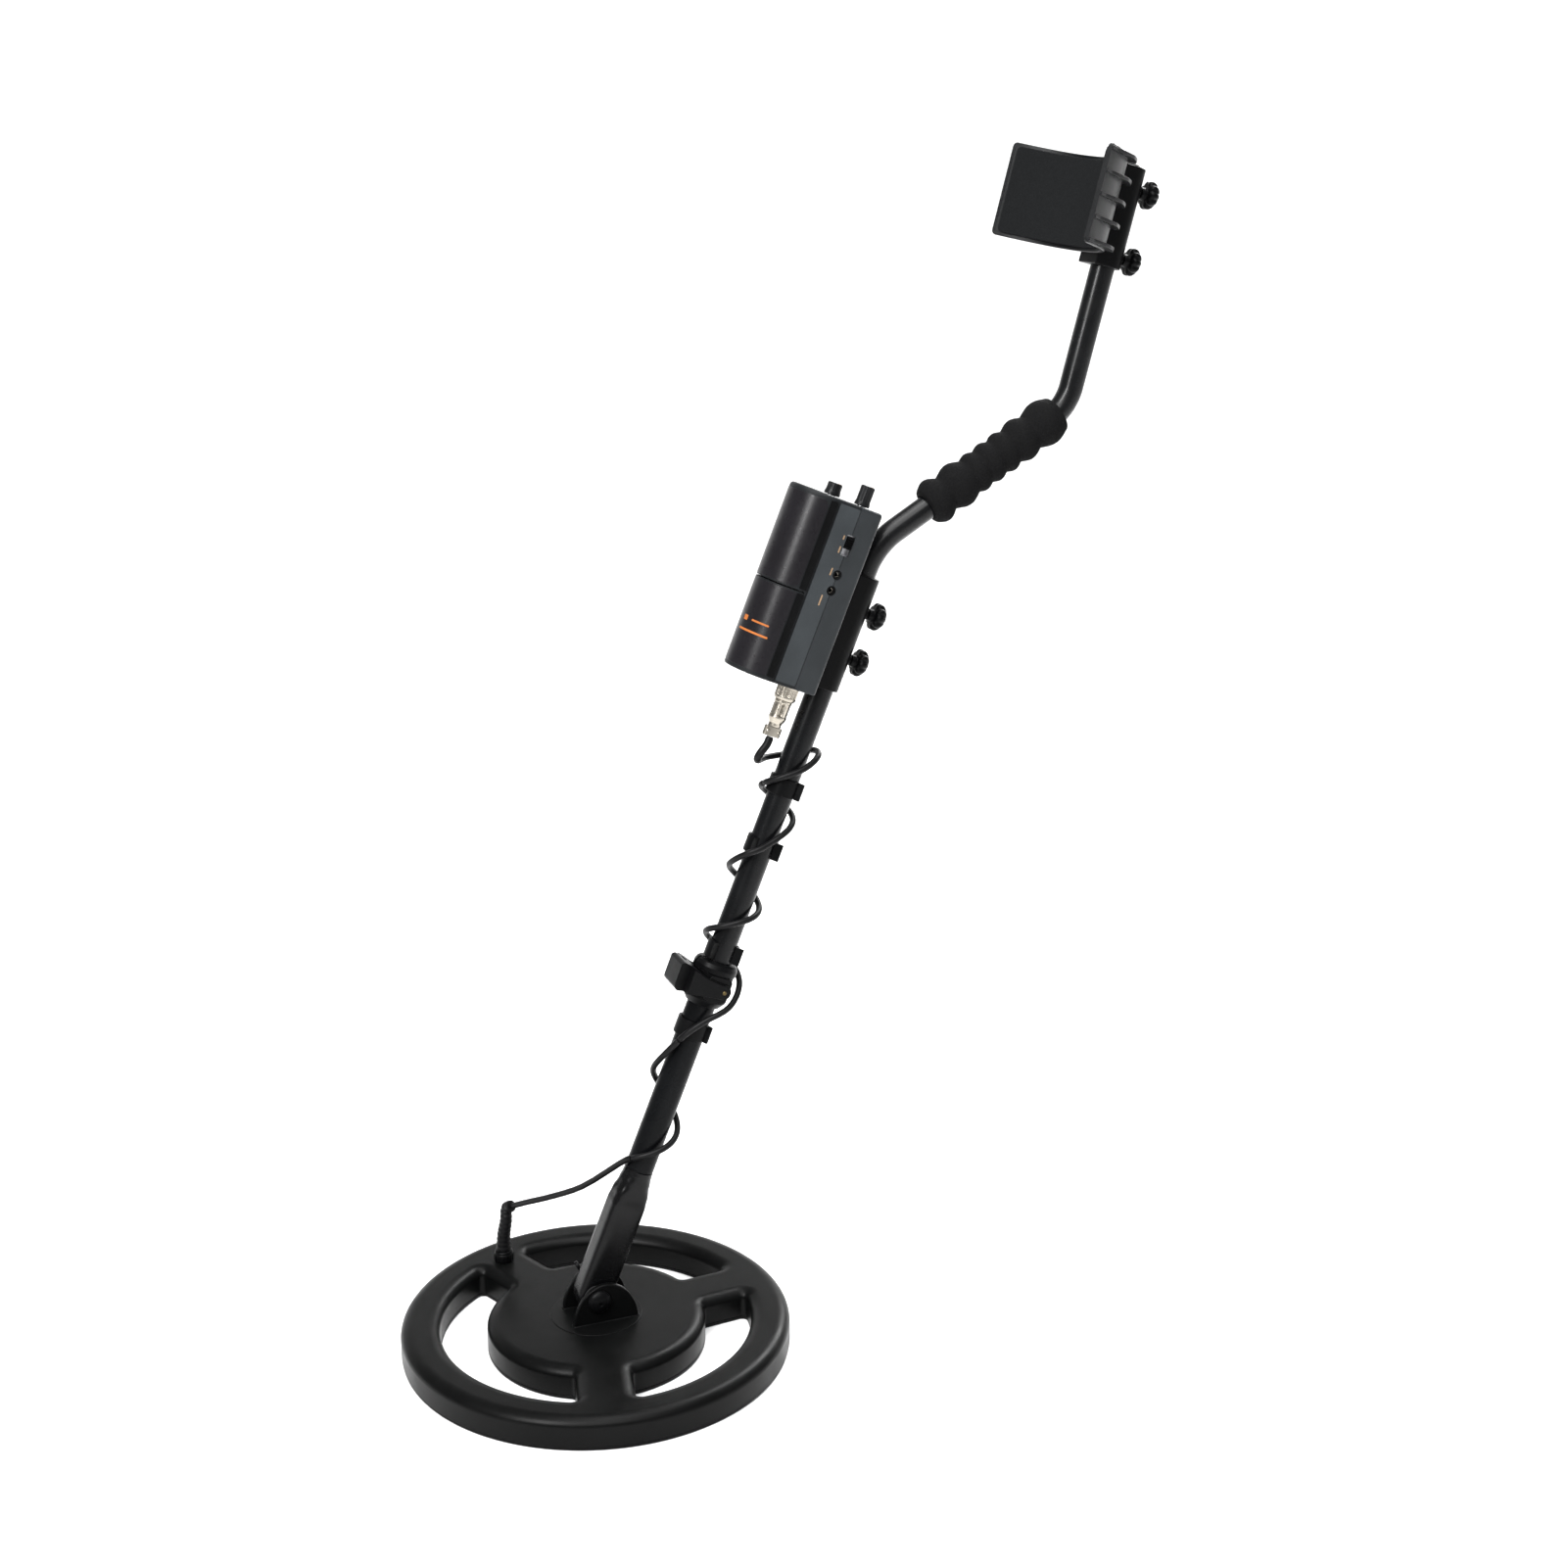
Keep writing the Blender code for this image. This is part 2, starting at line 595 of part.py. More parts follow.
def make_tubes():
    for name, radii, ends in (("lower_tube", LOWER_TUBE_R, LOWER_TUBE_Z),
                              ("middle_tube", MIDDLE_TUBE_R, MIDDLE_TUBE_Z)):
        shade(place(turned(name, ring_profile(*radii, *ends), 20, closed=True), stem), "black_tube")

    centre = [STEM_FOOT + up_tube(SHAFT_TILT) * S_TUBE_START]
    for corner, before, after, radius in ((LOWER_BEND, SHAFT_TILT, GRIP_TILT, LOWER_BEND_R),
                                          (UPPER_BEND, GRIP_TILT, ARM_TILT, UPPER_BEND_R)):
        turn = math.radians(after - before)
        reach = radius * math.tan(abs(turn) / 2)
        start = corner - up_tube(before) * reach
        side = 1 if turn > 0 else -1
        middle = start + side * radius * Vector((0, -math.sin(math.radians(before)),
                                                 math.cos(math.radians(before))))
        for i in range(BEND_STEPS + 1):
            spin = Matrix.Rotation(turn * i / BEND_STEPS, 3, "X")
            centre.append(middle + spin @ (start - middle))
    centre.append(UPPER_BEND + up_tube(ARM_TILT) * ARM_LENGTH)
    curve = bpy.data.curves.new("s_tube", "CURVE")
    curve.dimensions = "3D"
    curve.bevel_depth = S_TUBE_R[0]
    curve.bevel_resolution = 3
    spline = curve.splines.new("POLY")
    spline.points.add(len(centre) - 1)
    for point, position in zip(spline.points, centre):
        point.co = (*position, 1)
    skin = bpy.data.objects.new("s_tube", curve)
    parts.objects.link(skin)
    tube = as_mesh(skin)
    wall = tube.modifiers.new("wall", "SOLIDIFY")
    wall.thickness = S_TUBE_R[0] - S_TUBE_R[1]
    wall.offset = -1.0
    shade(tube, "black_tube")

    cap = turned("tube_end_cap", [(0, 0.0035), (0.0072, 0.0032), (S_TUBE_R[0], 0.0020), (S_TUBE_R[0], 0),
                                  (S_TUBE_R[1] - 0.0006, 0), (S_TUBE_R[1] - 0.0006, -0.010), (0, -0.010)], 14)
    shade(place(cap, arm, (0, 0, ARM_LENGTH + GAP)), "fitting_plastic")


def make_cam_lock():
    """Clamp collar at the top of the lower tube, with a cross pin and a flip lever."""
    low, high = LOCK_Z
    pin_y, pin_z = LEVER_PIN
    collar = turned("cam_collar", [(LOCK_R - 0.0030, high), (LOCK_R, high - 0.0040), (LOCK_R, low + 0.0050),
                                   (LOCK_R - 0.0035, low), (LOWER_TUBE_R[0] + GAP, low),
                                   (LOWER_TUBE_R[0] + GAP, LOWER_TUBE_Z[1] + 0.0005),
                                   (MIDDLE_TUBE_R[0] + GAP, LOWER_TUBE_Z[1] + 0.0005),
                                   (MIDDLE_TUBE_R[0] + GAP, high)], 20, closed=True)
    place(collar, stem)
    for side in (-1, 1):
        face = side * (LEVER_ARM_X[0] - GAP)
        cheek = block(f"cheek{side}", (min(side * 0.0125, face), -0.0080, low + 0.006),
                      (max(side * 0.0125, face), 0.0100, high - 0.008))
        combine(collar, cheek, "UNION")
    slit = block("collar_slit", (-0.0010, -0.03, low + 0.008), (0.0010, -0.0095, high + 0.01))
    combine(collar, slit)
    for side in (-1, 1):
        ends = [(side * x, pin_y, pin_z) for x in (0.0125, 0.0200)]
        hole = rod(f"pin_hole{side}", 0.0018, *ends, 10)
        combine(collar, hole)
    shade(collar, "fitting_plastic")

    reach = LEVER_ARM_X[1]
    for label, side in (("right", 1), ("left", -1)):
        pin = rod(f"lever_pin_{label}", 0.0015, (side * 0.0130, pin_y, pin_z),
                  (side * (reach + 0.0006), pin_y, pin_z), 10)
        shade(place(pin, stem), "brass")

    outline = [(0.0, 0.0048), (-0.0170, 0.0075), (-0.0215, 0.0095), (-0.0330, 0.0125),
               (-0.0350, 0.0110), (-0.0345, -0.0060), (-0.0320, -0.0085), (-0.0215, -0.0068)]
    outline += arc((0, 0), 0.0048, -90, 90, 4)[:-1]
    lever = extruded("cam_lever", [outline], 2 * reach)
    place(lever, stem, (0, pin_y, pin_z), (90, 0, 90))
    inner = LEVER_ARM_X[0]
    combine(lever, rod("lever_room", LEVER_ROOM_R, (-inner, pin_y, pin_z), (inner, pin_y, pin_z), 48))
    for side in (-1, 1):
        trim = block(f"lever_trim{side}", (min(side * 0.0115, side * 0.03), -0.04, 0.19),
                     (max(side * 0.0115, side * 0.03), -0.0222, 0.28))
        combine(lever, trim)
    combine(lever, rod("lever_eye", 0.0018, (-0.03, pin_y, pin_z), (0.03, pin_y, pin_z), 10))
    shade(lever, "fitting_plastic")


def clip_outline(tube_r):
    """C-shaped spring clip, opening towards +X, with flared lips."""
    inner, outer = tube_r + GAP, tube_r + 0.0020
    lip = [(0.0085, 0.0128), (0.0100, 0.0118)]
    upper = arc((0, 0), outer, 180, 58, 6) + lip + arc((0, 0), inner, 42, 180, 7)
    lower = [(x, -y) for x, y in reversed(upper)]
    return upper[1:-1] + [(-inner, 0)] + lower[1:-1] + [(-outer, 0)]


def make_clips():
    for name, (height, turn) in CLIPS.items():
        tube_r = MIDDLE_TUBE_R[0] if height > LOCK_Z[1] else LOWER_TUBE_R[0]
        clip = extruded(name, [clip_outline(tube_r)], CLIP_LENGTH)
        shade(place(clip, stem, (0, 0, height), (0, 0, turn + 180)), "fitting_plastic")


# ---------------------------------------------------------------- grip
def make_grip():
    low, high = GRIP_Z
    pitch = (high - low) / GRIP_BULGES
    profile = [(0.0100, high)]
    for i in range(GRIP_BULGES):
        crest = 0.0165 if i in (0, GRIP_BULGES - 1) else 0.0152
        top = high - i * pitch
        for share, radius in ((0.0, 0.0132), (0.32, crest), (0.68, crest)):
            profile.append((radius, top - share * pitch))
    profile += [(0.0132, low), (0.0100, low)]
    foam = turned("foam_grip", profile, 16, closed=True)
    shade(place(foam, grip), "foam")


# ---------------------------------------------------------------- control box
def case_outline(inset, back):
    """Flat back and sides with a half-round front (x, y); inset moves it inwards."""
    half = BOX_HALF - inset
    if back > BOX_CENTRE:
        dip = math.degrees(math.asin((back - BOX_CENTRE) / half))
        return arc((0, -BOX_CENTRE), half, -dip, dip - 180, 16)
    return [(-half, -back), (half, -back)] + arc((0, -BOX_CENTRE), half, 0, -180, 16)


def make_rear_case():
    low, high = BOX_Z
    parting = BOX_PARTING - GAP / 2
    corner = 0.0035
    outline = [(-BOX_HALF, -parting), (BOX_HALF, -parting)]
    outline += arc((BOX_HALF - corner, -BOX_BACK - corner), corner, 0, 90, 4)
    outline += arc((-BOX_HALF + corner, -BOX_BACK - corner), corner, 90, 180, 4)
    case = extruded("rear_case", [outline], high - low)
    place(case, stem, (0, 0, (low + high) / 2))
    half = BOX_HALF - WALL
    combine(case, block("rear_hollow", (-half, -0.04, low + WALL), (half, -BOX_BACK - WALL, high - WALL)))
    for x, z in CASE_SCREWS:
        combine(case, rod(f"screw_hole{x}{z}", 0.0017, (x, -0.02, z), (x, -0.01, z), 10))
        combine(case, rod(f"screw_seat{x}{z}", 0.0031, (x, -BOX_BACK - 0.0012, z), (x, -0.01, z), 12))
    cut_dial_hole(case, "rear")
    ends = [(0, -PLUG_FRONT, z) for z in (low - 0.01, low + 0.01)]
    combine(case, rod("socket_hole", SOCKET_R + GAP, *ends, 20))
    cut_side_openings(case)
    shade(case, "case_plastic")


def cut_dial_hole(case, dial):
    x, front = DIALS[dial][0]
    top = BOX_Z[1]
    ends = [(x, -front, z) for z in (top - 0.01, top + 0.01)]
    hole = rod(f"{dial}_dial_hole", DIAL_SHAFT_R + 0.0004, *ends, 12)
    combine(case, hole)


def cut_side_openings(case):
    """Slot for the power switch and holes for the two jacks, in the +X side."""
    deep, tall = SWITCH_SLOT
    middle = BOX_PARTING
    slot = block(f"switch_slot_{case.name}", (0.020, -middle - deep / 2, SWITCH_Z - tall / 2),
                 (0.030, -middle + deep / 2, SWITCH_Z + tall / 2))
    combine(case, slot)
    for name, z in JACKS.items():
        hole = rod(f"{name}_hole_{case.name}", JACK_R[0] + GAP, (0.020, -middle, z), (0.030, -middle, z), 16)
        combine(case, hole)


def make_front_case():
    low, high = BOX_Z
    parting = BOX_PARTING + GAP / 2
    case = extruded("front_case", [case_outline(0, parting)], high - low)
    place(case, stem, (0, 0, (low + high) / 2))
    upper = extruded("front_upper_hollow", [case_outline(WALL, 0.02)], high - WALL - DOOR_TOP - WALL)
    place(upper, location=(0, 0, (high - WALL + DOOR_TOP + WALL) / 2))
    combine(case, upper)
    half = BOX_HALF - WALL
    floor = WALL - DOOR_BACK
    hollow = block("front_lower_hollow", (-half, floor, low + WALL), (half, -0.02, DOOR_TOP + 0.003))
    combine(case, hollow)
    combine(case, block("door_room", (-0.03, -0.09, low - 0.01), (0.03, -DOOR_BACK, DOOR_TOP)))
    post_end = -(BOX_BACK + WALL + 0.0006)
    foot = floor - 0.0005
    for x, z in CASE_SCREWS:
        edge = sorted((math.copysign(0.0190, x), math.copysign(half + 0.0005, x)))
        combine(case, rod(f"post{x}{z}", 0.0029, (x, foot, z), (x, post_end, z), 12), "UNION")
        rib = block(f"rib{x}{z}", (edge[0], foot, z - 0.001), (edge[1], -0.0330, z + 0.001))
        combine(case, rib, "UNION")
        combine(case, rod(f"post_bore{x}{z}", 0.0013, (x, post_end - 0.015, z), (x, -0.01, z), 8))
    cut_dial_hole(case, "front")
    cut_side_openings(case)
    shade(case, "case_plastic")


def make_battery_door():
    low = BOX_Z[0]
    high = DOOR_TOP - GAP
    back = DOOR_BACK + GAP
    door = extruded("battery_door", [case_outline(0, back)], high - low)
    place(door, stem, (0, 0, (low + high) / 2))
    hollow = extruded("door_hollow", [case_outline(WALL, 0.02)], high - low)
    place(hollow, location=(0, 0, (low + high) / 2 + WALL))
    combine(door, hollow)
    shade(door, "case_plastic")


def make_battery():
    """Nine-volt block standing behind the door, with its two studs and the snap on them."""
    half_x, depth, height = 0.0130, 0.0163, 0.0465
    low = BOX_Z[0] + 0.0035
    back = -DOOR_BACK - 0.0012
    middle = back - depth / 2
    cell = block("battery", (-half_x, back - depth, low), (half_x, back, low + height))
    place(rounded(cell, 0.0020), stem)
    for x in (-0.0063, 0.0063):
        stud = rod(f"battery_stud{x}", 0.0030, (x, middle, low + height - 0.0015),
                   (x, middle, low + height + 0.002), 12)
        combine(cell, stud, "UNION")
    shade(cell, "battery_wrap")
    snap_low = low + height + 0.0023
    snap = block("battery_snap", (-0.0120, middle - 0.0060, snap_low),
                 (0.0120, middle + 0.0060, snap_low + 0.0030))
    shade(place(rounded(snap, 0.0008), stem), "fitting_plastic")


def make_electronics():
    board = place(block("circuit_board", *BOARD), stem)
    for x, z, width, height in CHIPS:
        chip = block(f"chip{z}", (x - width / 2, -0.0216, z - height / 2),
                     (x + width / 2, -0.0180, z + height / 2))
        combine(board, chip, "UNION")
    shade(board, "circuit_green")

    speaker = turned("speaker", [(0, 0), (0.0080, 0), (0.0145, 0.0030), (0.0145, 0.0015), (0.0090, -0.0045),
                                 (0.0090, -0.0075), (0, -0.0075)], 14)
    shade(place(speaker, stem, (0, -0.0420, 0.5420), (90, 0, 0)), "speaker_paper")

    top = BOX_Z[1]
    stop = top - WALL - GAP
    shaft = top + 0.0060
    pot_r = 0.0053
    for name, ((x, front), radius, height) in DIALS.items():
        profile = [(0, shaft), (DIAL_SHAFT_R, shaft), (DIAL_SHAFT_R, stop), (pot_r, stop),
                   (pot_r, stop - 0.0080), (0, stop - 0.0080)]
        pot = turned(f"{name}_dial_control", profile, 12)
        shade(place(pot, stem, (x, -front, 0)), "zinc_steel")
        room = shaft - top
        bore = DIAL_SHAFT_R + GAP
        profile = [(0, height), (radius - 0.0008, height), (radius - 0.0002, height - 0.0008), (radius, 0),
                   (bore, 0), (bore, room), (0, room)]
        knob = turned(f"{name}_dial_knob", profile, 16)
        shade(place(knob, stem, (x, -front, top + GAP)), "fitting_plastic")

    middle = -BOX_PARTING
    body = block("power_switch_body", (0.0160, middle - 0.0050, SWITCH_Z - 0.0085),
                 (BOX_HALF - WALL - GAP, middle + 0.0050, SWITCH_Z + 0.0085))
    place(body, stem)
    track = block("switch_track", (0.0200, middle - 0.0026, SWITCH_Z - 0.0068),
                  (0.0300, middle + 0.0026, SWITCH_Z + 0.0068))
    combine(body, track)
    shade(body, "zinc_steel")
    slider_z = SWITCH_Z + SWITCH_TRAVEL / 2
    slider = block("power_switch_slider", (0.0203, middle - 0.0023, slider_z - 0.0042),
                   (0.0262, middle + 0.0023, slider_z + 0.0042))
    shade(place(slider, stem), "fitting_plastic")

    for name, z in JACKS.items():
        jack = turned(name, ring_profile(*JACK_R, 0.0140, BOX_HALF + 0.0002), 12, closed=True)
        shade(place(jack, stem, (0, middle, z), (0, 90, 0)), "fitting_plastic")


def make_case_screws():
    """Round-headed screws along Y with their heads towards +Y."""
    for number, (x, z) in enumerate(CASE_SCREWS, 1):
        profile = [(0, 0.0010), (0.0027, 0.0010), (0.0027, 0), (0.0011, 0), (0.0011, -0.012), (0, -0.012)]
        screw = turned(f"case_screw_{number}", profile, 8)
        shade(place(screw, stem, (x, -BOX_BACK - 0.0009, z), (-90, 0, 0)), "zinc_steel")


def make_plug():
    """Panel socket under the box, with the coil lead's plug, its ring nut and cable clamp."""
    bottom = BOX_Z[0]
    inside = bottom + WALL + GAP
    axis = (0, -PLUG_FRONT, 0)
    bore = CABLE_R + GAP
    flange = bottom - 0.0053
    tail = 0.4248
    socket = turned("coil_socket", [(0.0065, inside + 0.0025), (0.0065, inside), (SOCKET_R, inside),
                                    (SOCKET_R, bottom - 0.0050), (0.0040, bottom - 0.0050),
                                    (0.0040, inside + 0.0025)], 14, closed=True)
    shade(place(socket, stem, axis), "nickel")
    body = turned("plug_body", [(0.0037, flange + 0.0030), (0.0037, flange), (0.0050, flange),
                                (0.0050, flange - 0.0020), (0.0046, flange - 0.0020), (0.0046, 0.4440),
                                (0.0063, 0.4440), (0.0063, 0.4310), (0.0046, 0.4268), (0.0046, tail),
                                (bore, tail), (bore, flange + 0.0030)], 14, closed=True)
    shade(place(body, stem, axis), "nickel")
    top = bottom - GAP
    ring = turned("plug_ring_nut", [(0.0076, top), (0.0078, top - 0.0010), (0.0078, top - 0.0095),
                                    (0.0072, top - 0.0108), (0.0049, top - 0.0108),
                                    (0.0049, flange - 0.0023), (0.0053, flange - 0.0023), (0.0053, top)],
                  14, closed=True)
    shade(place(ring, stem, axis), "nickel")
    top = tail - GAP
    clamp = block("plug_cable_clamp", (-0.0032, -0.0062, top - 0.0070), (0.0032, 0.0062, top))
    place(rounded(clamp, 0.0008), stem, axis)
    combine(clamp, place(rod("clamp_bore", bore, (0, 0, top - 0.01), (0, 0, top + 0.01), 12), None, axis))
    for y in (-0.0044, 0.0044):
        head = rod(f"clamp_screw{y}", 0.0014, (0.0, y, top - 0.0035), (0.0042, y, top - 0.0035), 10)
        combine(clamp, place(head, None, axis), "UNION")
    shade(clamp, "nickel")


# ---------------------------------------------------------------- clamp brackets and knobs
def bracket_outline(front):
    """Round back about the tube, straight sides and a flat face at the front (x, y)."""
    return [(BRACKET_R, -front)] + arc((0, 0), BRACKET_R, 0, 180, 10) + [(-BRACKET_R, -front)]


def make_bracket(name, ends, tube_r, front, knobs, parent):
    low, high = ends
    bracket = extruded(name, [bracket_outline(front), circle(tube_r + 0.0004, 20)], high - low)
    place(bracket, parent, (0, 0, (low + high) / 2))
    for z in knobs:
        combine(bracket, rod(f"{name}_thread{z}", KNOB_THREAD_R + GAP, (0, 0.005, z), (0, 0.02, z), 12))
    shade(bracket, "fitting_plastic")


def knob_lobes():
    """Lobed outline of a clamp knob: each lobe is four points, high, middle, low, middle."""
    points = []
    for i in range(4 * KNOB_LOBES):
        turn = math.radians(i * 90 / KNOB_LOBES)
        radius = KNOB_R - KNOB_LOBE_DEPTH * (0.0, 0.5, 1.0, 0.5)[i % 4]
        points.append((radius * math.cos(turn), radius * math.sin(turn)))
    return points


def make_knobs():
    """Clamp knobs on short threaded stems that end just clear of the tube."""
    places = []
    for label, z in zip(("lower", "upper"), BOX_KNOB_Z):
        places.append((f"box_clamp_knob_{label}", stem, z, MIDDLE_TUBE_R[0]))
    for label, z in zip(("lower", "upper"), CUFF_KNOB_Z):
        places.append((f"cuff_clamp_knob_{label}", arm, z, S_TUBE_R[0]))
    for name, parent, z, tube_r in places:
        knob = extruded(name, [knob_lobes()], KNOB_T)
        place(knob, parent, (0, KNOB_FACE + KNOB_T / 2, z), (-90, 0, 0))
        reach = KNOB_FACE - tube_r - 0.0004
        thread = turned(f"{name}_stem", [(0, 0.001), (0.0045, 0.001), (0.0040, -0.0035),
                                         (KNOB_THREAD_R, -0.0035), (KNOB_THREAD_R, -reach), (0, -reach)], 12)
        place(thread, parent, (0, KNOB_FACE, z), (-90, 0, 0))
        combine(knob, thread, "UNION")
        shade(knob, "fitting_plastic")


# ---------------------------------------------------------------- arm cuff
def cuff_height(x):
    """Height of the cuff's middle surface above the tube's axis, a deep valley."""
    return CUFF_FLOOR + (CUFF_RIM - CUFF_FLOOR) * (abs(x) / CUFF_HALF) ** 2.4


def cuff_band(inner, outer, reach, count=12, start=-1.0):
    """Closed outline between two offsets of the valley curve (x, y); y is down."""
    def side(offset, shares):
        points = []
        for share in shares:
            x = reach * share
            step = 0.0002
            slope = (cuff_height(x + step) - cuff_height(x - step)) / (2 * step)
            size = math.hypot(1, slope)
            points.append((x - offset * slope / size, -(cuff_height(x) + offset / size)))
        return points
    shares = [math.sin(math.pi / 2 * (start + (1 - start) * i / count)) for i in range(count + 1)]
    return side(outer, shares) + side(inner, shares[::-1])


def make_cuff():
    low, high = CUFF_Z
    middle = (0, 0, (low + high) / 2)
    shell = cuff_band(-CUFF_T / 2, CUFF_T / 2, CUFF_HALF)
    cuff = extruded("arm_cuff", [shell], high - low, bevel=0.0006, resolution=0)
    place(cuff, arm, middle)
    section = cuff_band(-CUFF_T / 2 - RIB_DEPTH, 0.0, CUFF_HALF * 0.985, 5, 0.28)
    mirrored = [(-x, y) for x, y in reversed(section)]
    pitch = (high - low - RIB_T) / (RIBS - 1)
    for i in range(RIBS):
        for label, band in (("right", section), ("left", mirrored)):
            rib = extruded(f"cuff_rib_{label}{i}", [band], RIB_T)
            place(rib, location=(0, 0, low + RIB_T / 2 + i * pitch))
            combine(cuff, rib, "UNION")
    shade(cuff, "case_plastic")

    near = CUFF_T / 2 + PAD_GAP
    pad = extruded("cuff_pad", [cuff_band(near, near + PAD_T, CUFF_HALF * 0.965)], high - low - 0.005)
    shade(place(pad, arm, middle), "pad_foam")


# ---------------------------------------------------------------- coil lead
def lead_route():
    """The whole coil lead from its plug to the boot on the coil, in world coordinates."""
    local = [(0, -PLUG_FRONT, 0.4175), (0.0005, -PLUG_FRONT - 0.0005, 0.4110),
             (0.0005, -PLUG_FRONT - 0.0030, 0.4035), (-0.0030, -PLUG_FRONT - 0.0015, 0.3985),
             (-0.0110, -PLUG_FRONT + 0.0080, 0.4010)]
    turns = smooth_path([Vector((z, angle / 1000, radius)) for z, angle, radius in WRAP], 5)
    for z, angle, radius in turns:
        t = math.radians(angle * 1000)
        local.append((radius * math.sin(t), -radius * math.cos(t), z))
    world = [STEM_MATRIX @ Vector(p) for p in local]
    tail = [Vector(BOOT_TIP) + Vector(TAIL_WAY) * reach + Vector((0, 0, -sag))
            for reach, sag in ((0.085, 0.0035), (0.045, 0.0030), (0.018, 0.0010), (0.0, 0.0))]
    return smooth_path(world + tail, 3)


def split_lengths(route):
    """Lengths along the route at which it passes each break's height, going down."""
    back = STEM_MATRIX.inverted()
    lengths, total = {}, 0.0
    for previous, point in zip(route, route[1:]):
        total += (point - previous).length
        height = (back @ point).z
        for name, limit in WRAP_BREAKS.items():
            if name not in lengths and total > LEAD_HEAD and height <= limit:
                lengths[name] = total
    return lengths, total


def make_lead():
    route = lead_route()
    lengths, total = split_lengths(route)
    stops = [0.0] + [lengths[name] for name in WRAP_BREAKS] + [total]
    names = ("lead_at_plug", "lead_on_middle_tube", "lead_at_lock", "lead_on_lower_tube", "lead_to_coil")
    for name, start, end in zip(names, stops, stops[1:]):
        points = along(route, LEAD_STEP, start + LEAD_GAP / 2, end - LEAD_GAP / 2)
        wire(name, points, CABLE_R, "cable_rubber")


# ---------------------------------------------------------------- the whole detector
def make_detector():
    make_coil()
    make_pivot()
    make_gland()
    make_yoke()
    make_tubes()
    make_cam_lock()
    make_clips()
    make_grip()
    make_rear_case()
    make_front_case()
    make_battery_door()
    make_battery()
    make_electronics()
    make_case_screws()
    make_plug()
    make_bracket("box_bracket", BOX_BRACKET_Z, MIDDLE_TUBE_R[0], BOX_BACK - GAP, BOX_KNOB_Z, stem)
    make_bracket("cuff_bracket", CUFF_BRACKET_Z, S_TUBE_R[0], CUFF_FLOOR - CUFF_T / 2 - GAP, CUFF_KNOB_Z, arm)
    make_knobs()
    make_cuff()
    make_lead()
    bpy.context.view_layer.update()


make_detector()
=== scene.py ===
"""Looks of the metal detector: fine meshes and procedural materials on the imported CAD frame.

World frame: metres, +Z up, -Y forwards, origin under the middle of the search coil.
Each straight run of the stem has its own frame: Z up the tube, -Y its front, +Y its back.
"""
import json
import math

import bmesh
import bpy
from mathutils import Matrix, Vector, noise
from mathutils.geometry import tessellate_polygon


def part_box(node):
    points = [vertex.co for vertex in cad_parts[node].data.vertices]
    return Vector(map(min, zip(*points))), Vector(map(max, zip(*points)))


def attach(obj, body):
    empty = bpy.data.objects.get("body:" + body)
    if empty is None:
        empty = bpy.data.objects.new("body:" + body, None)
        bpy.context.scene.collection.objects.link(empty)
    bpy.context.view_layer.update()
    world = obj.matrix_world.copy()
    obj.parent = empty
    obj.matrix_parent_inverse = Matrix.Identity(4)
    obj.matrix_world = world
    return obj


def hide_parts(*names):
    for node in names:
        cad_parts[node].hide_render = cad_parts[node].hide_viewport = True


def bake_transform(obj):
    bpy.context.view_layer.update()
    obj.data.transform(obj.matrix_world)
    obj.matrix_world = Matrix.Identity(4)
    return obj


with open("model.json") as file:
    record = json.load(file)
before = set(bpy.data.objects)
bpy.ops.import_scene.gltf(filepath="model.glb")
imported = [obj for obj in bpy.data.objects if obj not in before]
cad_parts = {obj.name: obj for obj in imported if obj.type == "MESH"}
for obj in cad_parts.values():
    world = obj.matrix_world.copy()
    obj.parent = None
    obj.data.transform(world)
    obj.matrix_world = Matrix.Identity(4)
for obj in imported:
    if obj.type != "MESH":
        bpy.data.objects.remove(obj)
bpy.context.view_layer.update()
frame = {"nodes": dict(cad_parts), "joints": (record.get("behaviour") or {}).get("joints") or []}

# ---------------------------------------------------------------- camera, lights and floor
CAMERA = Vector((1.35526, -0.38569, 0.83786))
CAMERA_WAY = Vector((-0.89248, 0.35005, -0.28451))
LENS = 50.0                       # millimetres, on a square sensor
SENSOR = 36.0
LIT_POINT = Vector((0, 0.15, 0.42))
SKY = 0.32
SUN = 2.9
SUN_WAY = (-0.45, 0.25, -0.86)
SUN_SPREAD = 50                   # degrees
FLOOR_HALF = 6.0                  # half the width of floor and backdrop
FLOOR_Z = -0.0003
COVE_START = 3.0                  # distance behind the detector at which the floor turns up
COVE_R = 1.2
WALL_TOP = 3.0


def make_camera():
    data = bpy.data.cameras.new("camera")
    data.lens = LENS
    data.sensor_width = SENSOR
    bpy.context.scene.camera = aimed("camera", data, CAMERA, CAMERA_WAY)


def aimed(name, data, place, way):
    """An object at a place, looking along a direction."""
    obj = bpy.data.objects.new(name, data)
    obj.location = place
    obj.rotation_mode = "QUATERNION"
    obj.rotation_quaternion = Vector(way).to_track_quat("-Z", "Y")
    bpy.context.scene.collection.objects.link(obj)
    return obj


def softbox(name, place, size, power):
    data = bpy.data.lights.new(name, "AREA")
    data.shape = "RECTANGLE"
    data.size, data.size_y = size
    data.energy = power
    aimed(name, data, place, LIT_POINT - Vector(place))


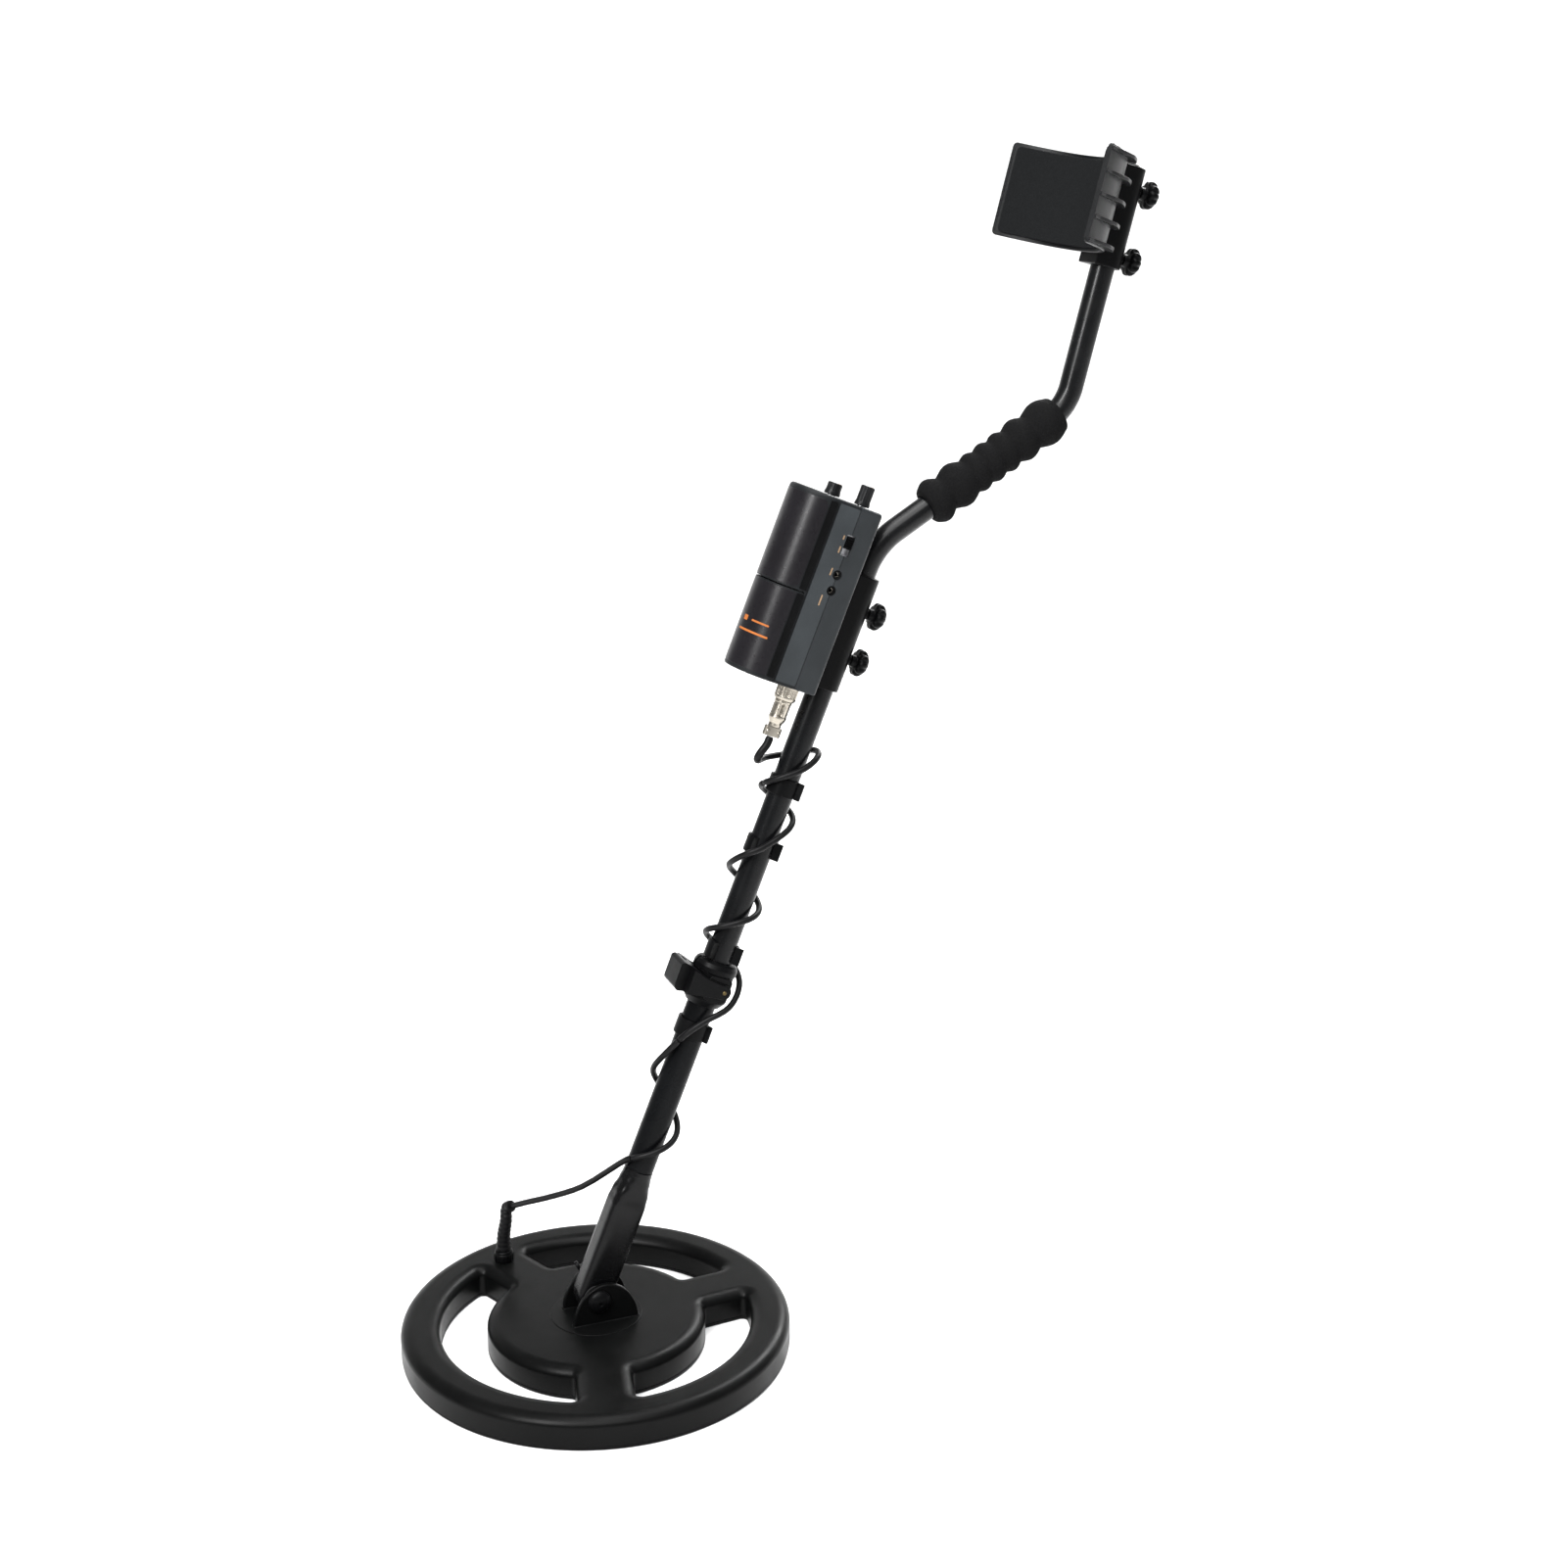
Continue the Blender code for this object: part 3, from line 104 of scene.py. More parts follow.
def make_studio():
    world = bpy.data.worlds.new("studio")
    world.use_nodes = True
    sky = world.node_tree.nodes["Background"]
    sky.inputs["Color"].default_value = (1.0, 1.0, 1.0, 1.0)
    sky.inputs["Strength"].default_value = SKY
    bpy.context.scene.world = world
    softbox("key", (1.1, -1.5, 1.9), (0.5, 1.5), 60)
    softbox("rim", (-1.0, 1.3, 1.5), (0.5, 1.5), 44)
    softbox("top", (0.0, 0.3, 2.3), (1.2, 1.2), 26)
    data = bpy.data.lights.new("sun", "SUN")
    data.energy = SUN
    data.angle = math.radians(SUN_SPREAD)
    aimed("sun", data, (0, 0, 0), SUN_WAY)
    bpy.context.scene.view_settings.view_transform = "Standard"
    bpy.context.scene.view_settings.look = "None"

    # The floor runs out flat and turns up into a backdrop behind the detector.
    way = Vector((CAMERA_WAY.x, CAMERA_WAY.y, 0)).normalized()
    across = Vector((-way.y, way.x, 0))
    profile = [(-FLOOR_HALF, FLOOR_Z), (COVE_START, FLOOR_Z)]
    for i in range(1, 13):
        a = math.radians(7.5 * i)
        profile.append((COVE_START + COVE_R * math.sin(a), COVE_R - COVE_R * math.cos(a)))
    profile.append((COVE_START + COVE_R, WALL_TOP))
    verts = [way * reach + across * side + Vector((0, 0, height))
             for reach, height in profile for side in (-FLOOR_HALF, FLOOR_HALF)]
    faces = [(i, i + 1, i + 3, i + 2) for i in range(0, len(verts) - 2, 2)]
    floor = linked("floor", (verts, faces))
    floor.data.shade_smooth()
    paint = Nodes("floor")
    paint.set(Base_Color=(0.88, 0.88, 0.88, 1.0), Roughness=0.95, Specular_IOR_Level=0.0)
    floor.data.materials.append(paint.material)


def linked(name, shape):
    """A new object with a shape's points and faces."""
    mesh = bpy.data.meshes.new(name)
    mesh.from_pydata([Vector(v) for v in shape[0]], [], shape[1])
    obj = bpy.data.objects.new(name, mesh)
    bpy.context.scene.collection.objects.link(obj)
    return obj


# ---------------------------------------------------------------- materials
class Nodes:
    """A material's node tree, with short calls for the nodes used here."""

    def __init__(self, name):
        self.material = bpy.data.materials.new(name)
        self.material.use_nodes = True
        self.tree = self.material.node_tree
        self.shader = self.tree.nodes["Principled BSDF"]
        self.place = self.tree.nodes.new("ShaderNodeTexCoord").outputs["Object"]

    def link(self, a, b):
        self.tree.links.new(a, b)

    def node(self, kind, source, socket="Vector", **values):
        """A new node fed from a source, with its other inputs set."""
        node = self.tree.nodes.new(f"ShaderNode{kind}")
        for name, value in values.items():
            node.inputs[name.replace("_", " ")].default_value = value
        self.link(source, node.inputs[socket])
        return node

    def scaled(self, factors):
        return self.node("Mapping", self.place, Scale=factors).outputs["Vector"]

    def noise(self, scale, detail):
        return self.node("TexNoise", self.place, Scale=scale, Detail=detail).outputs["Fac"]

    def cells(self, scale, place=None):
        return self.node("TexVoronoi", place or self.place, Scale=scale).outputs["Distance"]

    def bands(self, scale):
        """Bands along Z."""
        node = self.node("TexWave", self.place, Scale=scale)
        node.bands_direction = "Z"
        return node.outputs["Fac"]

    def spread(self, value, low, high, start=0.3, end=0.7):
        limits = {"From_Min": start, "From_Max": end, "To_Min": low, "To_Max": high}
        return self.node("MapRange", value, "Value", **limits).outputs["Result"]

    def colour(self, share, dark, light):
        node = self.tree.nodes.new("ShaderNodeMix")
        node.data_type = "RGBA"
        node.inputs["A"].default_value = (*dark, 1.0)
        node.inputs["B"].default_value = (*light, 1.0)
        self.link(share, node.inputs["Factor"])
        self.link(node.outputs["Result"], self.shader.inputs["Base Color"])

    def roughness(self, value, low, high):
        self.link(self.spread(value, low, high), self.shader.inputs["Roughness"])

    def bump(self, height, strength, depth):
        node = self.node("Bump", height, "Height", Strength=strength, Distance=depth)
        last = self.shader.inputs["Normal"]
        if last.is_linked:
            self.link(last.links[0].from_socket, node.inputs["Normal"])
        self.link(node.outputs["Normal"], last)

    def set(self, **values):
        for name, value in values.items():
            self.shader.inputs[name.replace("_", " ")].default_value = value


def around(colour, share):
    """A darker and a lighter shade about a colour."""
    return [c * (1 - share) for c in colour], [min(1.0, c * (1 + share)) for c in colour]


def surface(name, shades, clouds, gloss, bumps, **settings):
    """Two shades mixed by a noise, an uneven gloss and one or more fine grains.

    clouds is a noise's scale and detail; gloss adds the least and greatest roughness; each
    bump adds its strength and depth.
    """
    m = Nodes(name)
    m.set(**settings)
    m.colour(m.spread(m.noise(*clouds), 0, 1), *shades)
    m.roughness(m.noise(*gloss[:2]), *gloss[2:])
    for scale, detail, strength, depth in bumps:
        m.bump(m.noise(scale, detail), strength, depth)
    return m.material


def plastic(name, colour, roughness, grain_scale, grain_depth, shine=0.2):
    """Moulded plastic: faint cloudiness, uneven gloss and a fine spark-eroded grain."""
    return surface(name, around(colour, 0.14), (35, 4), (60, 3, roughness - 0.05, roughness + 0.06),
                   [(grain_scale, 2, 0.35, grain_depth), (90, 1, 0.10, 0.0004)], Specular_IOR_Level=shine)


def tube_paint(name, shine):
    """Gloss black stove enamel on drawn tube, with a slight orange peel."""
    return surface(name, ((0.0022, 0.0024, 0.0027), (0.0034, 0.0037, 0.0042)), (25, 3), (80, 3, 0.24, 0.31),
                   [(420, 2, 0.04, 0.0001)], Specular_IOR_Level=shine)


def rubber(name, colour, roughness):
    return surface(name, around(colour, 0.2), (60, 3), (120, 3, roughness - 0.06, roughness + 0.06),
                   [(1500, 2, 0.18, 0.0002)], Specular_IOR_Level=0.14)


def metal(name, colour, roughness, grain=600):
    """Plated or turned metal with a fine uneven polish."""
    return surface(name, around(colour, 0.08), (90, 3), (250, 3, roughness - 0.05, roughness + 0.08),
                   [(grain, 2, 0.05, 0.00002)], Metallic=1.0)


def foam(name, colour, cell_scale, depth):
    """Closed-cell foam rubber: matt, with small open cells in its skin."""
    m = Nodes(name)
    m.colour(m.spread(m.cells(cell_scale), 0, 1, 0.0, 0.6), *around(colour, 0.25))
    m.roughness(m.noise(200, 2), 0.86, 0.96)
    m.bump(m.cells(cell_scale), 0.45, depth)
    m.bump(m.noise(160, 3), 0.30, 0.0006)
    m.set(Specular_IOR_Level=0.04)
    return m.material


def wound_copper():
    """Varnished copper wire, seen as close turns."""
    m = Nodes("wound_copper")
    turns = m.bands(700)
    m.colour(m.spread(turns, 0, 1, 0.2, 0.8), (0.25, 0.08, 0.03), (0.62, 0.25, 0.10))
    m.roughness(m.noise(200, 2), 0.30, 0.42)
    m.bump(turns, 0.6, 0.0003)
    m.set(Metallic=1.0)
    return m.material


def board():
    """Green varnished board with copper tracks under the varnish."""
    m = Nodes("board")
    tracks = m.cells(260, m.scaled((1.0, 0.15, 1.0)))
    m.colour(m.spread(tracks, 0, 1, 0.25, 0.30), (0.02, 0.13, 0.05), (0.03, 0.22, 0.08))
    m.roughness(m.noise(120, 2), 0.30, 0.42)
    m.bump(tracks, 0.25, 0.0002)
    return m.material


def battery_wrap():
    """Printed foil sleeve: dark with one plain light band."""
    m = Nodes("battery_wrap")
    band = m.spread(m.bands(4.5), 0, 1, 0.62, 0.66)
    m.colour(band, (0.035, 0.045, 0.09), (0.55, 0.47, 0.22))
    m.roughness(m.noise(90, 2), 0.26, 0.36)
    m.bump(m.noise(500, 2), 0.1, 0.0001)
    m.set(Metallic=0.5)
    return m.material


COIL = plastic("coil_plastic", (0.0024, 0.0025, 0.0025), 0.33, 1500, 0.0002, 0.075)
CASE = plastic("case_plastic", (0.0085, 0.0095, 0.0105), 0.42, 1900, 0.0002, 0.13)
REAR = plastic("rear_case_plastic", (0.018, 0.0205, 0.0225), 0.40, 1900, 0.0002, 0.17)
SIDE = plastic("side_panel_plastic", (0.026, 0.030, 0.033), 0.38, 1900, 0.0002, 0.20)
CUFF = plastic("cuff_plastic", (0.0048, 0.0052, 0.0058), 0.34, 1600, 0.0002, 0.15)
FITTING = plastic("fitting_plastic", (0.0022, 0.0023, 0.0025), 0.36, 1300, 0.0002, 0.07)
KNOB = plastic("knob_plastic", (0.0065, 0.0070, 0.0076), 0.34, 1300, 0.0002, 0.16)
DARK = plastic("recess_plastic", (0.0015, 0.0015, 0.0018), 0.60, 900, 0.0002, 0.05)
LABEL = surface("label_film", ((0.0050, 0.0044, 0.0056), (0.0075, 0.0068, 0.0085)), (20, 3),
                (400, 2, 0.27, 0.33), [(1200, 1, 0.03, 0.00005)], Specular_IOR_Level=0.26)
ACCENT = plastic("accent_paint", (0.37, 0.115, 0.028), 0.50, 1200, 0.0001, 0.1)
MARK = plastic("mark_paint", (0.26, 0.17, 0.10), 0.50, 1200, 0.0001)
# The three tube paints are one enamel in one colour; only the specular level differs by place: lower on the
# lower tube as painted shade, higher on the bent tube as a painted sheen.
TUBE_IN_PAINTED_SHADE = tube_paint("tube_paint_painted_shade", 0.07)
TUBE = tube_paint("tube_paint", 0.16)
YOKE = plastic("yoke_plastic", (0.0022, 0.0023, 0.0025), 0.24, 1300, 0.0001, 0.15)
TUBE_WITH_PAINTED_SHEEN = tube_paint("tube_paint_painted_sheen", 0.26)
FOAM = foam("grip_foam", (0.0056, 0.0056, 0.0058), 950, 0.0005)
PAD = foam("pad_foam", (0.0072, 0.0076, 0.0080), 1300, 0.0003)
CABLE = rubber("cable_rubber", (0.0032, 0.0032, 0.0035), 0.42)
WASHER = rubber("washer_rubber", (0.020, 0.020, 0.020), 0.80)
NICKEL = metal("nickel", (0.42, 0.385, 0.33), 0.26, 1500)
NICKEL_SHADE = metal("nickel_in_shade", (0.27, 0.25, 0.215), 0.30, 1500)
ZINC = metal("zinc_steel", (0.50, 0.50, 0.52), 0.36)
BRASS = metal("brass", (0.10, 0.075, 0.035), 0.45)
COPPER = wound_copper()
BOARD = board()
BATTERY = battery_wrap()


# ---------------------------------------------------------------- frames, read from the CAD
JOINTS = {joint["name"]: joint for joint in frame["joints"]}
GRIP_TILT = 31.3                  # degrees above the ground
STEM_BACK = 0.020                 # clamp knobs' joints lie this far behind the tube's axis
PIVOT_DROP = 0.0060               # the coil's pivot, below the stem frame's origin


def axes(origin, up):
    """A frame whose Z is up the tube, whose X is the world's and whose Y is the tube's back."""
    z = Vector(up).normalized()
    x = Vector((1, 0, 0))
    turn = Matrix((x, z.cross(x), z)).transposed().to_4x4()
    return Matrix.Translation(origin) @ turn


def extent(node, place=Matrix.Identity(4)):
    """Lowest and highest corner of a CAD node in a frame."""
    back = place.inverted()
    columns = list(zip(*(back @ v.co for v in frame["nodes"][node].data.vertices)))
    return Vector([min(c) for c in columns]), Vector([max(c) for c in columns])


def middle_of(node, place=Matrix.Identity(4)):
    low, high = extent(node, place)
    return (low + high) / 2


LOWER_R, MIDDLE_R, BENT_R = 0.0104, 0.0094, 0.0085            # outer radii of the tubes
WORLD = Matrix.Identity(4)
SIDES = {"right": 1, "left": -1}
PIVOT = Vector(JOINTS["coil_tilt"]["pos_m"])
STEM_WAY = Vector(JOINTS["telescope"]["axis"])
STEM = axes(PIVOT + STEM_WAY * PIVOT_DROP, STEM_WAY)
ARM_WAY = Vector(JOINTS["cuff_slide"]["axis"])
ARM_BACK = Vector(JOINTS["cuff_knob_lower_spin"]["axis"])
ARM = axes(Vector(JOINTS["cuff_knob_lower_spin"]["pos_m"]) - ARM_BACK * STEM_BACK, ARM_WAY)
GRIP_WAY = Vector((0, math.cos(math.radians(GRIP_TILT)), math.sin(math.radians(GRIP_TILT))))
GRIP = axes((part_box("foam_grip")[0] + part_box("foam_grip")[1]) / 2, GRIP_WAY)


def meet(one, other):
    """Where the Z axes of two frames cross, in the plane x = 0."""
    p, d = one.translation, one.col[2].xyz
    q, e = other.translation, other.col[2].xyz
    share = ((q.y - p.y) * e.z - (q.z - p.z) * e.y) / (d.y * e.z - d.z * e.y)
    return p + d * share


# ---------------------------------------------------------------- mesh helpers
def piece(name, shape, body, material, place=WORLD, replaces=(), smooth=35):
    """A finished mesh piece: placed in the world, shaded, riding on its body."""
    obj = linked(name, moved(shape, place))
    clean(obj)
    dress(obj, material, smooth)
    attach(obj, body)
    if replaces:
        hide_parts(*replaces)
    return obj


def clean(obj):
    bm = bmesh.new()
    bm.from_mesh(obj.data)
    bmesh.ops.remove_doubles(bm, verts=bm.verts, dist=0.000002)
    bmesh.ops.recalc_face_normals(bm, faces=bm.faces)
    bm.to_mesh(obj.data)
    bm.free()


def dress(obj, material, smooth=35):
    obj.data.materials.clear()
    obj.data.materials.append(material)
    obj.data.shade_smooth()
    obj.data.set_sharp_from_angle(angle=math.radians(smooth))
    normals = obj.modifiers.new("normals", "WEIGHTED_NORMAL")
    normals.keep_sharp = True
    normals.weight = 60


def joined(*shapes):
    """Several closed shapes as one list of points and faces."""
    verts, faces = [], []
    for shape_verts, shape_faces in shapes:
        start = len(verts)
        verts += [tuple(v) for v in shape_verts]
        faces += [tuple(i + start for i in face) for face in shape_faces]
    return verts, faces


def moved(shape, matrix):
    return [tuple(matrix @ Vector(v)) for v in shape[0]], shape[1]


def shift(x, y, z):
    return Matrix.Translation((x, y, z))


def turn(degrees, axis):
    return Matrix.Rotation(math.radians(degrees), 4, axis)


def carved(shape, tools, operation="DIFFERENCE", soften=0.0):
    """A closed shape cut or joined with others, and its new sharp edges softened."""
    base, *cutters = made = [linked("temporary", solid) for solid in (shape, *tools)]
    for obj in made:
        clean(obj)
    for cutter in cutters:
        modifier = base.modifiers.new("cut", "BOOLEAN")
        modifier.operation = operation
        modifier.solver = "EXACT"
        modifier.object = cutter
    if soften:
        bevel = base.modifiers.new("soften", "BEVEL")
        bevel.width = soften
        bevel.segments = 2
        bevel.limit_method = "ANGLE"
        bevel.angle_limit = math.radians(50)
        bevel.use_clamp_overlap = True
    bpy.context.view_layer.update()
    result = bpy.data.meshes.new_from_object(base.evaluated_get(bpy.context.evaluated_depsgraph_get()))
    data = [tuple(v.co) for v in result.vertices], [tuple(p.vertices) for p in result.polygons]
    for obj in made:
        bpy.data.objects.remove(obj, do_unlink=True)
    return data


def arc(centre, radius, start, end, count):
    angles = [math.radians(start + (end - start) * i / count) for i in range(count + 1)]
    return [(centre[0] + radius * math.cos(a), centre[1] + radius * math.sin(a)) for a in angles]


def circle(radius, count, centre=(0, 0)):
    return arc(centre, radius, 0, 360 - 360 / count, count - 1)


def filleted(points, radii, steps=5, closed=True):
    """A polyline with its corners rounded; radii is one number or one for each corner."""
    count = len(points)
    radii = [radii] * count if isinstance(radii, (int, float)) else radii
    result = []
    for i, (corner, radius) in enumerate(zip(points, radii)):
        here = Vector(corner)
        if radius <= 0 or (not closed and i in (0, count - 1)):
            result.append(tuple(here))
            continue
        before, after = Vector(points[i - 1]) - here, Vector(points[(i + 1) % count]) - here
        angle = before.angle(after)
        if angle > math.pi - 0.02:
            result.append(tuple(here))
            continue
        reach = min(radius / math.tan(angle / 2), 0.49 * before.length, 0.49 * after.length)
        size = reach * math.tan(angle / 2)
        bisector = (before.normalized() + after.normalized()).normalized()
        middle = here + bisector * (size / math.sin(angle / 2))
        first = here + before.normalized() * reach - middle
        last = here + after.normalized() * reach - middle
        sweep = first.angle_signed(last)
        for step in range(steps + 1):
            a = -sweep * step / steps
            result.append((middle.x + first.x * math.cos(a) - first.y * math.sin(a),
                           middle.y + first.x * math.sin(a) + first.y * math.cos(a)))
    return result


def area(loop):
    return sum(a[0] * b[1] - b[0] * a[1] for a, b in zip(loop, loop[1:] + loop[:1])) / 2


def inset(loop, distance):
    """A loop moved to its left by a distance; inwards for an anticlockwise loop."""
    result = []
    count = len(loop)
    for i in range(count):
        here = Vector(loop[i])
        back = (here - Vector(loop[i - 1])).normalized()
        ahead = (Vector(loop[(i + 1) % count]) - here).normalized()
        normal = Vector((-back.y - ahead.y, back.x + ahead.x))
        if normal.length < 1e-6:
            normal = Vector((-ahead.y, ahead.x))
        normal.normalize()
        slant = max(0.35, normal.dot(Vector((-ahead.y, ahead.x))))
        result.append(tuple(here + normal * (distance / slant)))
    return result


def slab(loops, low, high, edge=0.0, foot=None, steps=5, drop=None):
    """A solid between two heights with rounded edges.

    loops are the outline and any holes; edge rounds the top and foot the bottom; drop is the
    depth of the rounding where it isn't as deep as it is wide.
    """
    foot = edge if foot is None else foot
    drop = edge if drop is None else drop
    outline = loops[0] if area(loops[0]) > 0 else loops[0][::-1]
    holes = [hole if area(hole) < 0 else hole[::-1] for hole in loops[1:]]
    levels = []
    if foot:
        levels += [(foot * (1 - math.sin(a)), low + foot * (1 - math.cos(a)))
                   for a in (math.pi / 2 * i / steps for i in range(steps + 1))]
    else:
        levels.append((0.0, low))
    if edge:
        levels += [(edge * (1 - math.cos(a)), high - drop * (1 - math.sin(a)))
                   for a in (math.pi / 2 * i / steps for i in range(steps + 1))]
    else:
        levels.append((0.0, high))
    verts, faces, caps = [], [], {0: [], len(levels) - 1: []}
    for loop in [outline] + holes:
        count, start = len(loop), len(verts)
        for number, (distance, z) in enumerate(levels):
            ring = inset(loop, distance) if distance else loop
            if number in caps:
                caps[number].append([(x, y, len(verts) + i) for i, (x, y) in enumerate(ring)])
            verts += [(x, y, z) for x, y in ring]
        for level in range(len(levels) - 1):
            for i in range(count):
                j = (i + 1) % count
                a = start + level * count
                faces.append((a + i, a + j, a + count + j, a + count + i))
    for number, cap in caps.items():
        flat = [index for loop in cap for *_, index in loop]
        if len(cap) == 1:
            faces.append(tuple(flat if number else flat[::-1]))
            continue
        for triangle in tessellate_polygon([[Vector((x, y, 0)) for x, y, _ in loop] for loop in cap]):
            faces.append(tuple(flat[i] for i in triangle))
    return verts, faces


def lathe(profile, sides=64, ripple=None, closed=False):
    """A profile of (radius, height) turned about Z. It starts and ends on the axis, or is closed.

    ripple(angle, radius, height) gives the radius where it isn't round.
    """
    verts, rings, faces = [], [], []
    for radius, height in profile:
        if radius < 1e-9:
            rings.append([len(verts)])
            verts.append((0, 0, height))
            continue
        rings.append(list(range(len(verts), len(verts) + sides)))
        for i in range(sides):
            a = 2 * math.pi * i / sides
            r = ripple(a, radius, height) if ripple else radius
            verts.append((r * math.cos(a), r * math.sin(a), height))
    pairs = list(zip(rings, rings[1:])) + ([(rings[-1], rings[0])] if closed else [])
    for one, two in pairs:
        for i in range(sides):
            j = (i + 1) % sides
            if len(one) == 1 and len(two) == 1:
                continue
            if len(one) == 1:
                faces.append((one[0], two[i], two[j]))
            elif len(two) == 1:
                faces.append((one[i], one[j], two[0]))
            else:
                faces.append((one[i], one[j], two[j], two[i]))
    return verts, faces


def ring(outer, inner, low, high, edge=0.0003, sides=64, ripple=None):
    """A tube's wall, with its rims rounded."""
    return lathe(filleted([(outer, high), (outer, low), (inner, low), (inner, high)], edge, 3), sides, ripple,
                 closed=True)


def loft(sections):
    """A closed solid through sections of equal counts of 3D points."""
    count = len(sections[0])
    verts = [tuple(v) for section in sections for v in section]
    faces = [tuple(range(count))[::-1], tuple(range(len(verts) - count, len(verts)))]
    for a in range(0, len(verts) - count, count):
        b = a + count
        faces += [(a + i, a + (i + 1) % count, b + (i + 1) % count, b + i) for i in range(count)]
    return verts, faces


def sweep(path, radius, sides=20):
    """A round bar along a path; radius is a number or a function of the share of the way."""
    points = [Vector(p) for p in path]
    count = len(points)
    tangent = (points[1] - points[0]).normalized()
    side = tangent.orthogonal().normalized()
    sections = []
    for i, point in enumerate(points):
        ahead = points[min(i + 1, count - 1)] - points[max(i - 1, 0)]
        side = tangent.rotation_difference(ahead) @ side
        tangent = ahead.normalized()
        side = (side - tangent * side.dot(tangent)).normalized()
        up = tangent.cross(side)
        r = radius(i / (count - 1)) if callable(radius) else radius
        turns = [2 * math.pi * k / sides for k in range(sides)]
        sections.append([point + (side * math.cos(a) + up * math.sin(a)) * r for a in turns])
    return loft(sections)


def smooth_path(points, per_span):
    """A centripetal Catmull-Rom curve through the points."""
    path = [Vector(p) for p in points]
    ends = [path[0] * 2 - path[1]] + path + [path[-1] * 2 - path[-2]]
    result = []
    for i in range(1, len(ends) - 2):
        p = ends[i - 1:i + 3]
        knots = [0.0]
        for a, b in zip(p, p[1:]):
            knots.append(knots[-1] + max((b - a).length, 1e-9) ** 0.5)
        for step in range(per_span):
            t = knots[1] + (knots[2] - knots[1]) * step / per_span
            level = list(p)
            for order in range(1, 4):
                for j in range(4 - order):
                    low, high = (knots[j], knots[j + order]) if order < 3 else (knots[1], knots[2])
                    level[j] = level[j].lerp(level[j + 1], (t - low) / (high - low))
            result.append(level[0])
    result.append(path[-1])
    return result


def along(path, spacing, start=0.0, end=None):
    """The path read at even steps between two lengths along it."""
    lengths = [0.0]
    for a, b in zip(path, path[1:]):
        lengths.append(lengths[-1] + (b - a).length)
    end = lengths[-1] if end is None else end
    count = max(2, round((end - start) / spacing))
    points, span = [], 0
    for i in range(count + 1):
        target = start + (end - start) * i / count
        while span < len(path) - 2 and lengths[span + 1] < target:
            span += 1
        share = (target - lengths[span]) / (lengths[span + 1] - lengths[span])
        points.append(path[span].lerp(path[span + 1], share))
    return points


def oblong(left, bottom, right, top):
    return [(left, bottom), (right, bottom), (right, top), (left, top)]


def block(low, high):
    """A box between two corners."""
    return slab([oblong(low[0], low[1], high[0], high[1])], low[2], high[2])


def rod(radius, start, end, sides=32):
    way = Vector(end) - Vector(start)
    spin = Vector((0, 0, 1)).rotation_difference(way).to_matrix().to_4x4()
    flat = lathe([(0, way.length), (radius, way.length), (radius, 0), (0, 0)], sides)
    return moved(flat, Matrix.Translation(start) @ spin)


def curved_plate(line, low, high, inner, outer, corner=0.0, edge=0.0003):
    """A plate that follows a flat line (x, y), between two offsets to the line's left.

    It stands from low to high along Z, and its four corners are rounded.
    """
    points = [Vector((x, y, 0)) for x, y in line]
    total = sum((b - a).length for a, b in zip(points, points[1:]))
    turns = [math.pi / 2 * i / 10 for i in range(11)]
    near = [corner * (1 - math.cos(t)) for t in turns] if corner else [0.0]
    count = max(8, len(line))
    middle = [corner + (total - 2 * corner) * i / count for i in range(1, count)]
    stations = near + middle + [total - s for s in reversed(near)]
    fine = along(points, total / 600)
    sections = []
    for s in stations:
        where = min(600, max(0, s / total * 600))
        i = min(599, int(where))
        spot = fine[i].lerp(fine[i + 1], where - i)
        way = (fine[min(600, i + 2)] - fine[max(0, i - 1)]).normalized()
        left = Vector((-way.y, way.x, 0))
        end = min(s, total - s)
        drop = corner - math.sqrt(max(0.0, corner ** 2 - (corner - end) ** 2)) if end < corner else 0.0
        a, b = low + drop, high - drop
        section = []
        for offset, z in ((inner + edge, a), (outer - edge, a), (outer, a + edge), (outer, b - edge),
                          (outer - edge, b), (inner + edge, b), (inner, b - edge), (inner, a + edge)):
            section.append(spot + left * offset + Vector((0, 0, z)))
        sections.append(section)
    return loft(sections)


TO_X = Matrix(((0, 0, 1), (1, 0, 0), (0, 1, 0))).to_4x4()      # outline in (y, z), thickness along X
Z_TO_X = turn(90, "Y")
Z_TO_MINUS_X = turn(-90, "Y")
Z_TO_BACK = turn(-90, "X")

# ---------------------------------------------------------------- search coil
SPOKE_HALF = 0.0200
SPOKES = (95, 203, 347)           # degrees from +X
RING_IN_R = 0.1119
DISC_R = 0.0787
WINDOW_FILLET = 0.0040
COIL_EDGE = (0.0095, 0.0068)      # width and depth of the coil's rounded upper edges
EAR_T = 0.0040
EAR_Y = 0.0030                    # middle of each ear, a broad arch
EAR_REACH = 0.0240
EAR_HEIGHT = 0.0315
EAR_LIP = 0.0010                  # step round each ear's foot
COIL_TOP = 0.0230
LEAD_ENTRY = (-0.0990, -0.0430)
NUT_TURN = 25                     # degrees by which the wing nut's wings lean forwards


